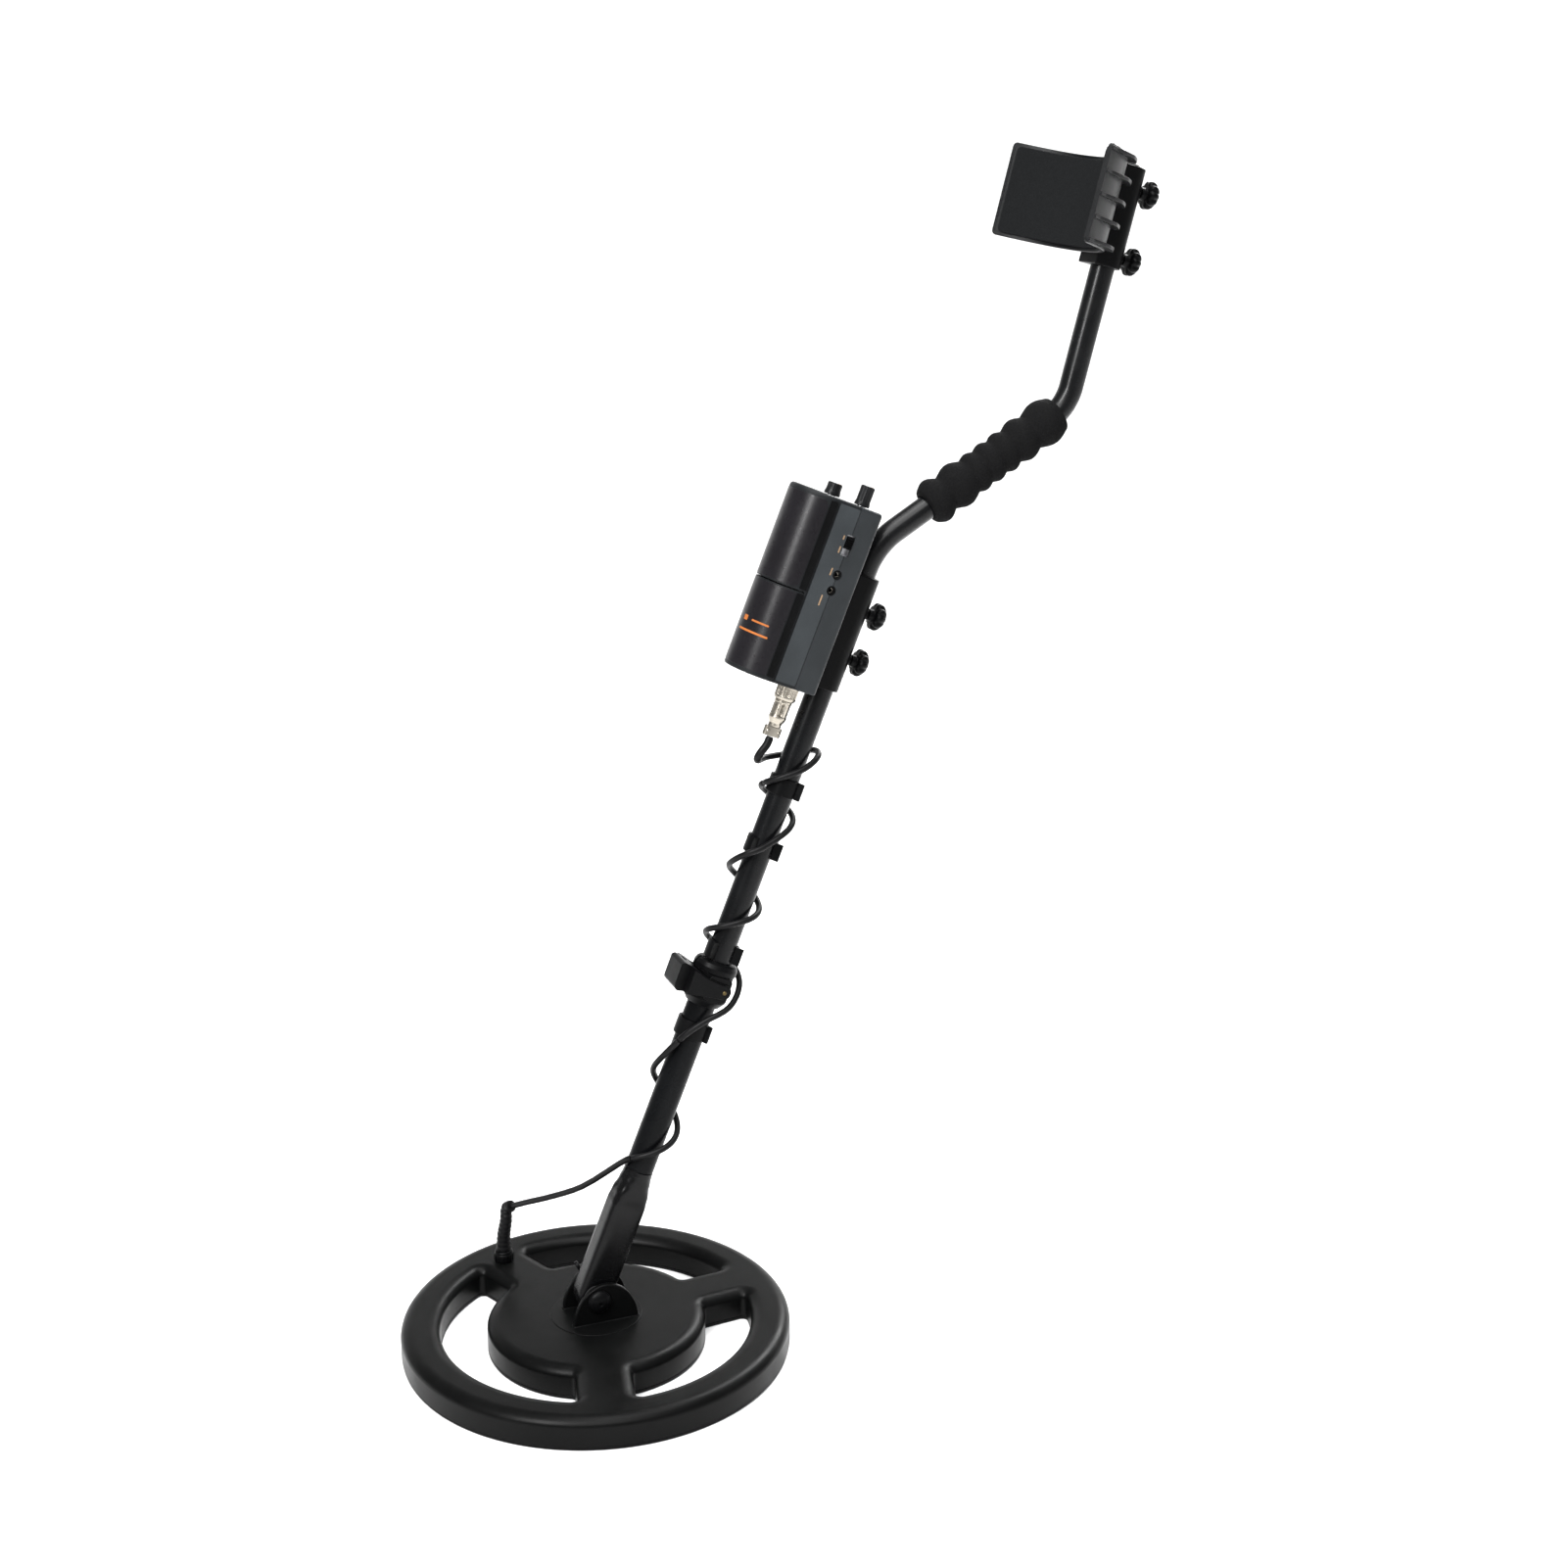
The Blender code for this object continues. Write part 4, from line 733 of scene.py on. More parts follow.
def window(centre, half_turn):
    """Opening between two spokes, with filleted corners."""
    side = SPOKE_HALF + WINDOW_FILLET
    far = (math.sqrt((RING_IN_R - WINDOW_FILLET) ** 2 - side ** 2), side)
    near = (math.sqrt((DISC_R + WINDOW_FILLET) ** 2 - side ** 2), side)
    far_angle = math.degrees(math.atan2(far[1], far[0]))
    near_angle = math.degrees(math.atan2(near[1], near[0]))
    half = arc((0, 0), DISC_R, half_turn, near_angle, 16)[:-1]
    half += arc(near, WINDOW_FILLET, near_angle + 180, 270, 7)
    half += arc(far, WINDOW_FILLET, -90, far_angle, 7)
    half += arc((0, 0), RING_IN_R, far_angle, half_turn, 20)[1:]
    other = []
    for x, y in reversed(half[1:-1]):
        mirrored = Matrix.Rotation(math.radians(2 * half_turn), 2) @ Vector((x, -y))
        other.append(tuple(mirrored))
    spin = Matrix.Rotation(math.radians(centre - half_turn), 2)
    return [tuple(spin @ Vector(p)) for p in half + other]


def make_coil():
    low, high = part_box("coil_bottom_cover")
    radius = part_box("coil_top_shell")[1].x
    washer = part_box("friction_washer_right")
    top = COIL_TOP
    windows = [window((start + end) / 2, (end - start) / 2)
               for start, end in zip(SPOKES, SPOKES[1:] + (SPOKES[0] + 360,))]
    shell = slab([circle(radius, 240)] + windows, high.z + 0.0003, top, COIL_EDGE[0], 0.0004,
                 steps=10, drop=COIL_EDGE[1])
    channel = ring(radius - 0.0035, RING_IN_R + 0.0035, -0.01, 0.0150, 0.001, 96)
    recess = ring(DISC_R - 0.0045, 0.0260, -0.01, 0.0165, 0.001, 72)
    entry = rod(0.0027, (*LEAD_ENTRY, 0.012), (*LEAD_ENTRY, 0.03))
    shell = carved(shell, [channel, recess, entry])

    turns = [math.pi * i / 48 for i in range(49)]
    outline = [(EAR_REACH * math.cos(t), EAR_HEIGHT * math.sin(t)) for t in turns]
    shapes = [shell]
    reach = EAR_REACH + EAR_LIP
    for side in (-1, 1):
        inner = side * (washer[1].x + 0.0003)
        near, far = sorted((inner, inner + side * EAR_T))
        shapes.append(moved(slab([outline], near, far, 0.0009), shift(0, EAR_Y, top - 0.0020) @ TO_X))
        plinth = filleted(oblong(EAR_Y - reach, near - EAR_LIP, EAR_Y + reach, far + EAR_LIP), 0.0020)
        shapes.append(slab([[(x, y) for y, x in plinth]], top - 0.0010, top + 0.0009, 0.0006, 0.0))
    shapes.append(slab([circle(0.0330, 96)], top - 0.0020, top + 0.0004, 0.0003, 0.0))
    piece("coil_shell", joined(*shapes), "coil", COIL, replaces=["coil_top_shell"])
    cover = slab([circle(radius - 0.0004, 240)] + windows, low.z, high.z, 0.0003, 0.0009)
    piece("coil_cover", cover, "coil", COIL, replaces=["coil_bottom_cover"])


def make_pivot():
    low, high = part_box("pivot_bolt")
    place = Matrix.Translation(PIVOT) @ Z_TO_X
    head_t, head_r, shank = 0.0052, 0.0085, 0.0040
    seat = high.x - head_t
    profile = [(0, high.x - 0.0008), (0.0011, high.x - 0.0007), (0.0014, high.x - 0.0001), (0.0019, high.x)]
    profile += [(head_r * math.sin(a), seat + 0.0006 + (head_t - 0.0006) * math.cos(a))
                for a in (math.radians(d) for d in (22, 32, 42, 52, 62, 72, 80, 86, 90))]
    profile += [(head_r, seat + 0.0002), (head_r - 0.0003, seat), (shank, seat), (shank, low.x + 0.0008),
                (shank - 0.0008, low.x), (0, low.x)]
    piece("pivot_bolt_domed", lathe(profile, 64), "coil", FITTING, place,
          ["pivot_bolt"])

    for label in ("right", "left"):
        a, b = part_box(f"friction_washer_{label}")
        disc = ring(0.0099, 0.0043, a.x, b.x, 0.0003)
        piece(f"washer_{label}", disc, "coil", WASHER, place, [f"friction_washer_{label}"])

    low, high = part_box("pivot_nut")
    hub = lathe(filleted([(0.0075, high.x), (0.0065, low.x), (0.0043, low.x), (0.0043, high.x)], 0.0006, 3),
                48, closed=True)
    wing = [(0.0055, -0.0035)] + arc((0.0124, 0), 0.0035, -90, 90, 16) + [(0.0055, 0.0035)]
    blade = slab([filleted(wing, [0.0005] + [0] * 17 + [0.0005])], -0.0013, 0.0013, 0.0005)
    height = (low.x + high.x) / 2
    blades = [moved(blade, shift(0, 0, height) @ turn(angle, "Z") @ turn(90, "X"))
              for angle in (NUT_TURN, NUT_TURN + 180)]
    piece("wing_nut", joined(hub, *blades), "pivot_nut", FITTING, place, ["pivot_nut"])


BOOT_R = 0.0056
BOOT_TAPER = 0.24
BOOT_RIBS = 11


def make_gland():
    low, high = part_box("cable_gland")
    centre = (low + high) / 2
    height = high.z - low.z
    profile = [(0.00255, height), (0.0060, height), (0.0066, height - 0.0008), (0.0067, height - 0.0020),
               (0.0073, height - 0.0024), (0.0075, height - 0.0032), (0.0075, 0.0012), (0.0073, 0.0002),
               (0.0070, 0.0), (0.00255, 0.0)]
    ribs = lathe(filleted(profile, 0.0003, 2), 60, lambda a, r, z: r - (0.0003 * abs(math.sin(10 * a))
                 if r > 0.0070 else 0), closed=True)
    piece("gland_collar", ribs, "coil", FITTING, shift(centre.x, centre.y, low.z),
          ["cable_gland"])

    tip, way = BOOT_TIP, TAIL_WAY
    foot = Vector((centre.x, centre.y, high.z + 0.0003))
    path = smooth_path([foot, foot + Vector((0, 0.0005, 0.012)), foot + Vector((0.0004, 0.0025, 0.024)),
                        tip - way * 0.006, tip], 24)
    path = along(path, 0.0003)

    def radius(share):
        taper = BOOT_R * (1 - BOOT_TAPER * share)
        wave = 0.5 + 0.5 * math.cos(share * 2 * math.pi * BOOT_RIBS)
        ribbed = 0.00032 * wave if 0.06 < share < 0.90 else 0.0
        rim = 0.0004 * max(0.0, 1 - share / 0.006) + 0.0005 * max(0.0, (share - 0.99) / 0.01)
        return taper - ribbed - rim + (0.0002 if share > 0.93 else 0.0)
    boot = sweep(path, radius, 36)
    piece("boot", boot, "coil", CABLE, replaces=["strain_relief"], smooth=60)


# ---------------------------------------------------------------- stem
def squircle(half_x, half_y, power, z, count=72):
    points = []
    for i in range(count):
        t = 2 * math.pi * (i + 0.5) / count
        c, s = math.cos(t), math.sin(t)
        points.append(Vector((half_x * math.copysign(abs(c) ** (2 / power), c),
                              half_y * math.copysign(abs(s) ** (2 / power), s), z)))
    return points


YOKE_HALF = (0.0100, 0.0130)      # half sizes of the tongue


def make_yoke():
    """Lower end of the stem: a flat tongue on the pivot, changing to a plug in the tube."""
    half_x, half_y = YOKE_HALF
    bottom, top = extent("yoke", STEM)
    base = extent("lower_tube", STEM)[0].z - 0.0003
    keys = [(-PIVOT_DROP, half_x, half_y, 5), (0.0640, half_x, half_y, 5), (0.0720, 0.0104, 0.0124, 4),
            (0.0810, 0.0107, 0.0112, 2.6), (0.0880, 0.0107, 0.0107, 2.1), (base - 0.0004, 0.0106, 0.0106, 2)]
    end = -PIVOT_DROP - bottom.z
    sections = []
    for i in range(13):
        angle = math.radians(84 - 7 * i)
        share = math.cos(angle)
        edge = 0.0008 * max(0.0, 1 - i / 3)
        sections.append(squircle(half_x - edge, half_y * (0.30 + 0.70 * share) - edge, 5,
                                 -PIVOT_DROP - end * math.sin(angle)))
    for one, two in zip(keys, keys[1:]):
        for step in range(1, 7):
            share = step / 6
            eased = share * share * (3 - 2 * share)
            z = one[0] + (two[0] - one[0]) * share
            values = [a + (b - a) * eased for a, b in zip(one[1:], two[1:])]
            sections.append(squircle(*values, z))
    sections += [squircle(0.0102, 0.0102, 2, base), squircle(0.0093, 0.0093, 2, base),
                 squircle(0.0093, 0.0093, 2, top.z - 0.0008), squircle(0.0086, 0.0086, 2, top.z)]
    bore = rod(0.0044, (-0.02, 0, -PIVOT_DROP), (0.02, 0, -PIVOT_DROP), 40)
    body = carved(loft(sections), [bore])
    piece("stem_yoke", body, "lower_stem", YOKE, STEM, ["yoke"])


def bend_line():
    """The S tube's centre line, with both bends rounded."""
    corners = [STEM @ Vector((0, 0, extent("s_tube", STEM)[0].z)), meet(STEM, GRIP), meet(GRIP, ARM),
               ARM @ Vector((0, 0, extent("tube_end_cap", ARM)[0].z + 0.0097))]
    flat = filleted([(p.y, p.z) for p in corners], [0, 0.055, 0.036, 0], 40, closed=False)
    return [Vector((0, y, z)) for y, z in flat]


def make_tubes():
    for name, body, radius, wall, finish in (("lower_tube", "lower_stem", LOWER_R, 0.0007, TUBE_IN_PAINTED_SHADE),
                                             ("middle_tube", "upper_stem", MIDDLE_R, 0.0006, TUBE)):
        low, high = extent(name, STEM)
        tube = ring(radius, radius - wall, low.z, high.z, 0.00025, 72)
        piece(f"{name}_drawn", tube, body, finish, STEM, [name])
    piece("s_tube_bent", sweep(bend_line(), BENT_R, 64), "upper_stem", TUBE_WITH_PAINTED_SHEEN,
          replaces=["s_tube"], smooth=50)
    low, high = extent("tube_end_cap", ARM)
    lip = high.z - 0.0035
    profile = [(0, high.z), (0.0050, high.z - 0.0001), (0.0070, high.z - 0.0006), (0.0081, high.z - 0.0014),
               (0.0085, lip + 0.0012), (0.0085, lip + 0.0002), (0.0083, lip), (0.0070, lip), (0.0066, low.z),
               (0, low.z)]
    piece("end_cap", lathe(profile, 64), "upper_stem", FITTING, ARM, ["tube_end_cap"])


LOCK_R = 0.0160
LOCK_SCREW_R = 0.0015


def make_cam_lock():
    """Collar with a slit, ridges and cheeks; the lever's paddle stands out in front."""
    low, high = extent("cam_collar", STEM)
    a, b = low.z, high.z
    step = extent("lower_tube", STEM)[1].z + 0.0005
    r, lower_bore, upper_bore = LOCK_R, LOWER_R + 0.0003, MIDDLE_R + 0.0003
    profile = [(r - 0.0030, b), (r - 0.0012, b - 0.0012), (r, b - 0.0040), (r, b - 0.0075),
               (r - 0.0009, b - 0.0080), (r - 0.0009, a + 0.0085), (r, a + 0.0080), (r, a + 0.0050),
               (r - 0.0035, a), (lower_bore, a), (lower_bore, step), (upper_bore, step), (upper_bore, b)]
    shape = lathe(filleted(profile, 0.0005, 3), 72, closed=True)
    pin = middle_of("lever_pin_right", STEM)
    plate = filleted(oblong(-0.0080, a + 0.0060, 0.0100, b - 0.0080), 0.0035)
    cheeks = []
    for side in (-1, 1):
        inner, outer = sorted((side * 0.0122, side * LOCK_R))
        cheeks.append(moved(slab([plate], inner, outer, 0.0006), TO_X))
    slit = block((-0.0010, -0.03, a + 0.008), (0.0010, -0.0093, b + 0.01))
    collar = carved(shape, [slit])
    piece("lock_collar", joined(collar, *cheeks), "lower_stem", FITTING, STEM,
          ["cam_collar"])

    for label, side in SIDES.items():
        inner, outer = extent(f"lever_pin_{label}", STEM)
        ends = sorted((inner.x, outer.x))
        length = ends[1] - ends[0]
        r = LOCK_SCREW_R
        rim = r - 0.0004
        profile = [(0, length), (rim, length), (r, length - 0.0004), (r, 0.0004), (rim, 0), (0, 0)]
        spin = Z_TO_X if side > 0 else Z_TO_MINUS_X
        start = Vector((ends[0] if side > 0 else ends[1], pin.y, pin.z))
        piece(f"pin_{label}", lathe(profile, 32), "lower_stem", BRASS,
              STEM @ Matrix.Translation(start) @ spin, [f"lever_pin_{label}"])

    arm_in, arm_out = 0.0163, extent("cam_lever", STEM)[1].x
    outline = [(0.0, 0.0048), (-0.0170, 0.0075), (-0.0215, 0.0095), (-0.0330, 0.0125),
               (-0.0352, 0.0110), (-0.0350, -0.0060), (-0.0322, -0.0085), (-0.0215, -0.0068), (0.0, -0.0048)]
    outline = filleted(outline, [0.002, 0.02, 0.02, 0.0025, 0.0022, 0.0025, 0.0025, 0.012, 0.002], 6)
    rear = filleted([(0.0050, 0.0050), (0.0050, -0.0050), (-0.006, -0.0055), (-0.006, 0.0055)],
                    [0.0048, 0.0048, 0.0, 0.0], 10)
    solid = moved(slab([outline], -arm_out, arm_out, 0.0008), TO_X)
    eyes = moved(slab([rear], -arm_out, arm_out, 0.0008), TO_X)
    room = rod(0.0237, (-arm_in, 0, 0), (arm_in, 0, 0), 96)
    trims = []
    for side in (-1, 1):
        x = sorted((side * 0.0115, side * 0.03))
        trims.append(block((x[0], -0.05, -0.03), (x[1], -0.0272, 0.03)))
    dimple = lathe([(0, 0.0022), (0.0020, 0.0020), (0.0036, 0.0010), (0.0042, -0.0030), (0, -0.0030)], 40)
    dimple = moved(dimple, shift(-0.0060, -0.0272, 0.0098) @ Matrix.Diagonal((1.0, 0.55, 1.0, 1.0)) @
                   turn(180, "X"))
    lever = carved(carved(solid, [eyes], "UNION"), [room] + trims + [dimple], soften=0.0007)
    place = STEM @ shift(0, pin.y, pin.z)
    piece("lock_lever", lever, "cam_lever", FITTING, place, ["cam_lever"], smooth=40)


def clip_outline(tube_r):
    inner, outer = tube_r + 0.0003, tube_r + 0.0020
    lip = [(0.0086, 0.0126), (0.0099, 0.0118)]
    upper = arc((0, 0), outer, 180, 58, 28) + lip + arc((0, 0), inner, 42, 180, 30)
    lower = [(x, -y) for x, y in reversed(upper)]
    return upper[1:-1] + [(-inner, 0)] + lower[1:-1] + [(-outer, 0)]


def make_clips():
    """Spring clips round the tubes, opening away from the lead they hold."""
    for name, angle in (("upper", 90), ("middle", 0), ("lower", 0), ("stem", 90)):
        body, radius = ("lower_stem", LOWER_R) if name == "stem" else ("upper_stem", MIDDLE_R)
        low, high = extent(f"cable_clip_{name}", STEM)
        clip = slab([clip_outline(radius)], low.z, high.z, 0.0004, steps=3)
        piece(f"clip_{name}", clip, body, FITTING, STEM @ turn(angle, "Z"),
              [f"cable_clip_{name}"])


# ---------------------------------------------------------------- foam grip
# Each swelling of the grip from the lower end: its middle as a share of the length, half its
# length as a share, and its greatest radius.
BULGES = ((0.070, 0.070, 0.0164), (0.235, 0.088, 0.0163), (0.372, 0.050, 0.0147), (0.478, 0.052, 0.0148),
          (0.586, 0.052, 0.0149), (0.718, 0.074, 0.0157), (0.896, 0.104, 0.0165))
NECK_R = 0.0126
SWELL_SPREAD = 1.05               # neighbouring swellings overlap a little
SWELL_POWER = 0.62                # below 1 for full crests and narrow necks
GRIP_STEPS = 190


def make_grip():
    low, high = extent("foam_grip", GRIP)
    length = high.z - low.z
    profile = [(0.0090, low.z)]
    for i in range(GRIP_STEPS + 1):
        share = i / GRIP_STEPS
        radius = NECK_R
        for middle, half, crest in BULGES:
            off = abs(share - middle) / (half * SWELL_SPREAD)
            if off < 1:
                swell = (0.5 + 0.5 * math.cos(math.pi * off)) ** SWELL_POWER
                radius = max(radius, NECK_R + (crest - NECK_R) * swell)
        end = min(share, 1 - share) * length
        radius -= 0.0012 * max(0.0, 1 - end / 0.0012) ** 2
        profile.append((radius, low.z + length * share))
    profile.append((0.0090, high.z))

    def skin(angle, radius, height):
        spot = Vector((math.cos(angle) * 14, math.sin(angle) * 14, height * 900))
        return radius + (0.00012 * noise.noise(spot * 0.5) if radius > 0.01 else 0)
    foam_piece = piece("grip_foam", lathe(profile, 96, skin, closed=True), "upper_stem", FOAM, GRIP,
                       ["foam_grip"], smooth=70)


# ---------------------------------------------------------------- control box
BOX_HALF = 0.0250
BOX_PARTING = 0.0302              # distances in front of the tube's axis
BOX_CENTRE = 0.0480               # axis of the round front
BOX_CORNER = 0.0032
CHANNEL = (0.0463, 0.0508)        # groove down each side, beside the round front
WALL = 0.0020
DOOR_GAP = 0.0007
# Plain marks on the battery door: height above the box's bottom, size, and place round the front.
ACCENTS = ((0.0330, 0.0036, (76, 86)), (0.0340, 0.0013, (34, 66)), (0.0262, 0.0014, (30, 90)))
LABEL_FROM = 13                   # degrees of the round front left bare at each side


def box_outline(back):
    """Whole section of the box, with its rear corners rounded; the front is half round."""
    rear = [(BOX_HALF, -BOX_CENTRE), (BOX_HALF, -back), (-BOX_HALF, -back), (-BOX_HALF, -BOX_CENTRE)]
    rear = filleted(rear, [0, BOX_CORNER, BOX_CORNER, 0], 8)
    return rear + arc((0, -BOX_CENTRE), BOX_HALF, -180, 0, 72)[1:-1]


def front_curve(radius, start, end, count=48):
    """Points on the round front; angles from the +X side, through the front, to the -X side."""
    return arc((0, -BOX_CENTRE), radius, -start, -end, count)


def make_box():
    rear_low, rear_high = extent("rear_case", STEM)
    door_high = extent("battery_door", STEM)[1]
    low, high = rear_low.z, rear_high.z
    back, split = -rear_high.y, door_high.z
    solid = slab([box_outline(back)], low, high, 0.0026, 0.0014, steps=6)
    big = 0.1
    front_cut = block((-big, -big, low - big), (big, -BOX_PARTING + 0.00015, high + big))
    back_cut = block((-big, -BOX_PARTING - 0.00015, low - big), (big, big, high + big))
    half = BOX_HALF - WALL
    jacks = [middle_of(name, STEM) for name in ("headphone_jack", "charging_jack")]
    switch = middle_of("power_switch_body", STEM)
    slot = block((0.0205, -BOX_PARTING - 0.0031, switch.z - 0.0072),
                 (0.030, -BOX_PARTING + 0.0031, switch.z + 0.0072))
    jack_holes = [rod(0.0034, (0.020, jack.y, jack.z), (0.030, jack.y, jack.z), 40) for jack in jacks]
    dials = {name: STEM.inverted() @ Vector(JOINTS[f"{name}_dial_turn"]["pos_m"])
             for name in ("front", "rear")}
    dial_holes = {name: rod(0.0035, (p.x, p.y, high - 0.01), (p.x, p.y, high + 0.01), 32)
                  for name, p in dials.items()}
    plug = middle_of("plug_body", STEM)

    hollow = block((-half, -0.05, low + WALL), (half, -back - WALL, high - WALL))
    socket = rod(0.0053, (0, plug.y, low - 0.01), (0, plug.y, low + 0.01), 48)
    heads = [middle_of(f"case_screw_{number}", STEM) for number in range(1, 5)]
    holes = []
    for head in heads:
        holes.append(rod(0.0016, (head.x, -0.022, head.z), (head.x, 0.0, head.z), 24))
        holes.append(rod(0.0031, (head.x, -back - 0.0013, head.z), (head.x, 0.0, head.z), 32))
    rear = carved(solid, [front_cut, hollow, socket, slot, dial_holes["rear"]] + jack_holes + holes,
                  soften=0.0003)
    piece("box_rear", rear, "control_box", REAR, STEM, ["rear_case"], smooth=32)

    upper = slab([[(-half, -0.02), (half, -0.02), (half, -BOX_CENTRE)] +
                  arc((0, -BOX_CENTRE), half, -2, -180, 40)], split + 0.0023, high - WALL)
    lower = block((-half, WALL - BOX_CENTRE, low + WALL), (half, -0.02, split + 0.004))
    room = block((-big, -big, low - big), (big, -BOX_CENTRE, split + 0.0003))
    grooves = []
    for side in (-1, 1):
        x = sorted((side * (BOX_HALF - 0.0006), side * (BOX_HALF + 0.01)))
        grooves.append(block((x[0], -CHANNEL[1], low - big), (x[1], -CHANNEL[0], high - 0.0022)))
    front = carved(solid, [back_cut, upper, lower, room, slot, dial_holes["front"]] + jack_holes + grooves,
                   soften=0.0003)
    post = ring(0.0028, 0.0013, 0.0, 0.0300, 0.0002, 24)
    posts = [moved(post, shift(head.x, -0.0462, head.z) @ Z_TO_BACK) for head in heads]
    piece("box_front", joined(front, *posts), "control_box", CASE, STEM, ["front_case"],
          smooth=32)

    panel = filleted(oblong(-CHANNEL[0] + 0.0004, low + 0.0022, -BOX_PARTING - 0.0003, high - 0.0026), 0.0008)
    for label, side in SIDES.items():
        x = sorted((side * (BOX_HALF - 0.0003), side * (BOX_HALF + 0.00012)))
        plate = moved(slab([panel], *x), TO_X)
        if side > 0:
            plate = carved(plate, [slot] + jack_holes)
        piece(f"side_panel_{label}", plate, "control_box", SIDE, STEM)

    hollow = slab([arc((0, -BOX_CENTRE), half, 20, -200, 60)], low + WALL, high + big)
    behind = block((-big, -BOX_CENTRE - 0.0003, low - big), (big, big, high + big))
    above = block((-big, -big, split - DOOR_GAP), (big, big, high + big))
    door = carved(solid, [behind, above, hollow] + grooves, soften=0.0003)
    piece("box_door", door, "battery_door", CASE, STEM, ["battery_door"], smooth=32)

    line = front_curve(BOX_HALF, LABEL_FROM, 180 - LABEL_FROM, 90)
    labels = (("label_upper", "control_box", split + 0.0014, high - 0.0040, 0.0050),
              ("label_lower", "battery_door", low + 0.0030, split - DOOR_GAP - 0.0010, 0.0010))
    for name, body, start, end, corner in labels:
        film = curved_plate(line, start, end, -0.0003, 0.00025, corner, 0.0001)
        piece(name, film, body, LABEL, STEM)
        # Beside each film a thin dark sheet lies on each edge of the round front: painted shade and painted
        # dark reflection where the front curves away towards the side.
        shade_strip_top = end if body == "battery_door" else high - 0.0030
        for side, angles in (("right", (-1.0, LABEL_FROM - 1.5)), ("left", (181.5 - LABEL_FROM, 181.0))):
            edge_line = front_curve(BOX_HALF, *angles, 16)
            painted_shade_strip = curved_plate(edge_line, start, shade_strip_top, -0.0003, 0.00012, 0.0008, 0.00005)
            piece(f"{name}_trim_{side}", painted_shade_strip, body, FITTING, STEM)
    for number, (height, tall, angles) in enumerate(ACCENTS):
        height += low
        stripe = curved_plate(front_curve(BOX_HALF, *angles, 24), height, height + tall, 0.0001, 0.00032,
                              0.0006, 0.00003)
        piece(f"accent_stripe_{number + 1}", stripe, "battery_door", ACCENT, STEM)
    marks = [(switch.z + 0.0046, 0.0030), (switch.z - 0.0040, 0.0046), (jacks[0].z + 0.0010, 0.0052),
             (jacks[1].z - 0.0082, 0.0076)]
    for number, (height, length) in enumerate(marks):
        y = -BOX_PARTING - 0.0052
        outline = oblong(y - 0.0005, height - length / 2, y + 0.0005, height + length / 2)
        mark = moved(slab([filleted(outline, 0.0004)], BOX_HALF - 0.0002, BOX_HALF + 0.00022), TO_X)
        piece(f"side_mark_{number + 1}", mark, "control_box", MARK, STEM)


DIAL_FLARE = 0.0005               # by which a dial's foot is wider than its grip


def make_controls():
    for name, flutes in (("front", 18), ("rear", 20)):
        low, high = extent(f"{name}_dial_knob", STEM)
        radius = (high.x - low.x) / 2
        length = high.z - low.z
        grip = radius - DIAL_FLARE
        profile = [(0, length - 0.0003), (grip - 0.0017, length - 0.0003), (grip - 0.0013, length),
                   (grip - 0.0006, length), (grip, length - 0.0006), (grip, 0.0040),
                   (radius - 0.0002, 0.0024), (radius, 0.0016), (radius, 0.0003), (radius - 0.0003, 0),
                   (0.0034, 0), (0.0034, 0.0055), (0, 0.0055)]

        def fluting(angle, r, height):
            fluted = r > grip - 0.0001 and height > 0.0030
            return r - (0.0002 * (0.5 + 0.5 * math.cos(flutes * angle)) if fluted else 0)
        knob = lathe(profile, flutes * 8, fluting)
        pointer = block((-0.0003, radius * 0.35, length - 0.0006), (0.0003, grip - 0.0006, length + 0.00015))
        place = STEM @ shift((low.x + high.x) / 2, (low.y + high.y) / 2, low.z)
        piece(f"{name}_knob", knob, f"{name}_dial_knob", KNOB, place,
              [f"{name}_dial_knob"])
        piece(f"{name}_pointer", pointer, f"{name}_dial_knob", ACCENT, place)

    low, high = extent("power_switch_slider", STEM)
    pitch = 0.0014
    outline = [(low.x, low.z), (high.x - 0.0012, low.z), (high.x - 0.0012, low.z + 0.0006)]
    height = low.z + 0.0006
    while height + pitch < high.z - 0.0006:
        outline += [(high.x, height + 0.0004), (high.x, height + 0.0009), (high.x - 0.0008, height + pitch)]
        height += pitch
    outline += [(high.x - 0.0012, high.z), (low.x, high.z)]
    plate = slab([outline], 0, high.y - low.y, 0.0002)
    stand = Matrix(((1, 0, 0), (0, 0, -1), (0, 1, 0))).to_4x4()
    piece("switch_slider", plate, "power_switch_slider", DARK,
          STEM @ shift(0, high.y, 0) @ stand, ["power_switch_slider"])

    for name, finish in (("headphone_jack", FITTING), ("charging_jack", DARK)):
        low, high = extent(name, STEM)
        y, z = (low.y + high.y) / 2, (low.z + high.z) / 2
        place = STEM @ shift(0, y, z) @ Z_TO_X
        sleeve = ring(0.0032, 0.0019, low.x, high.x, 0.0004, 48)
        piece(f"{name}_sleeve", sleeve, "control_box", finish, place, [name])
        contact = ring(0.00188, 0.0014, low.x + 0.001, high.x - 0.0022, 0.0001, 40)
        piece(f"{name}_contact", contact, "control_box", NICKEL, place)


RING_NUT_R = 0.0078
CLAMP_LOBE_R = 0.0024
CLAMP_WAIST = 0.0032
CLAMP_REACH = 0.0042              # screws of the cable clamp, before and behind the lead


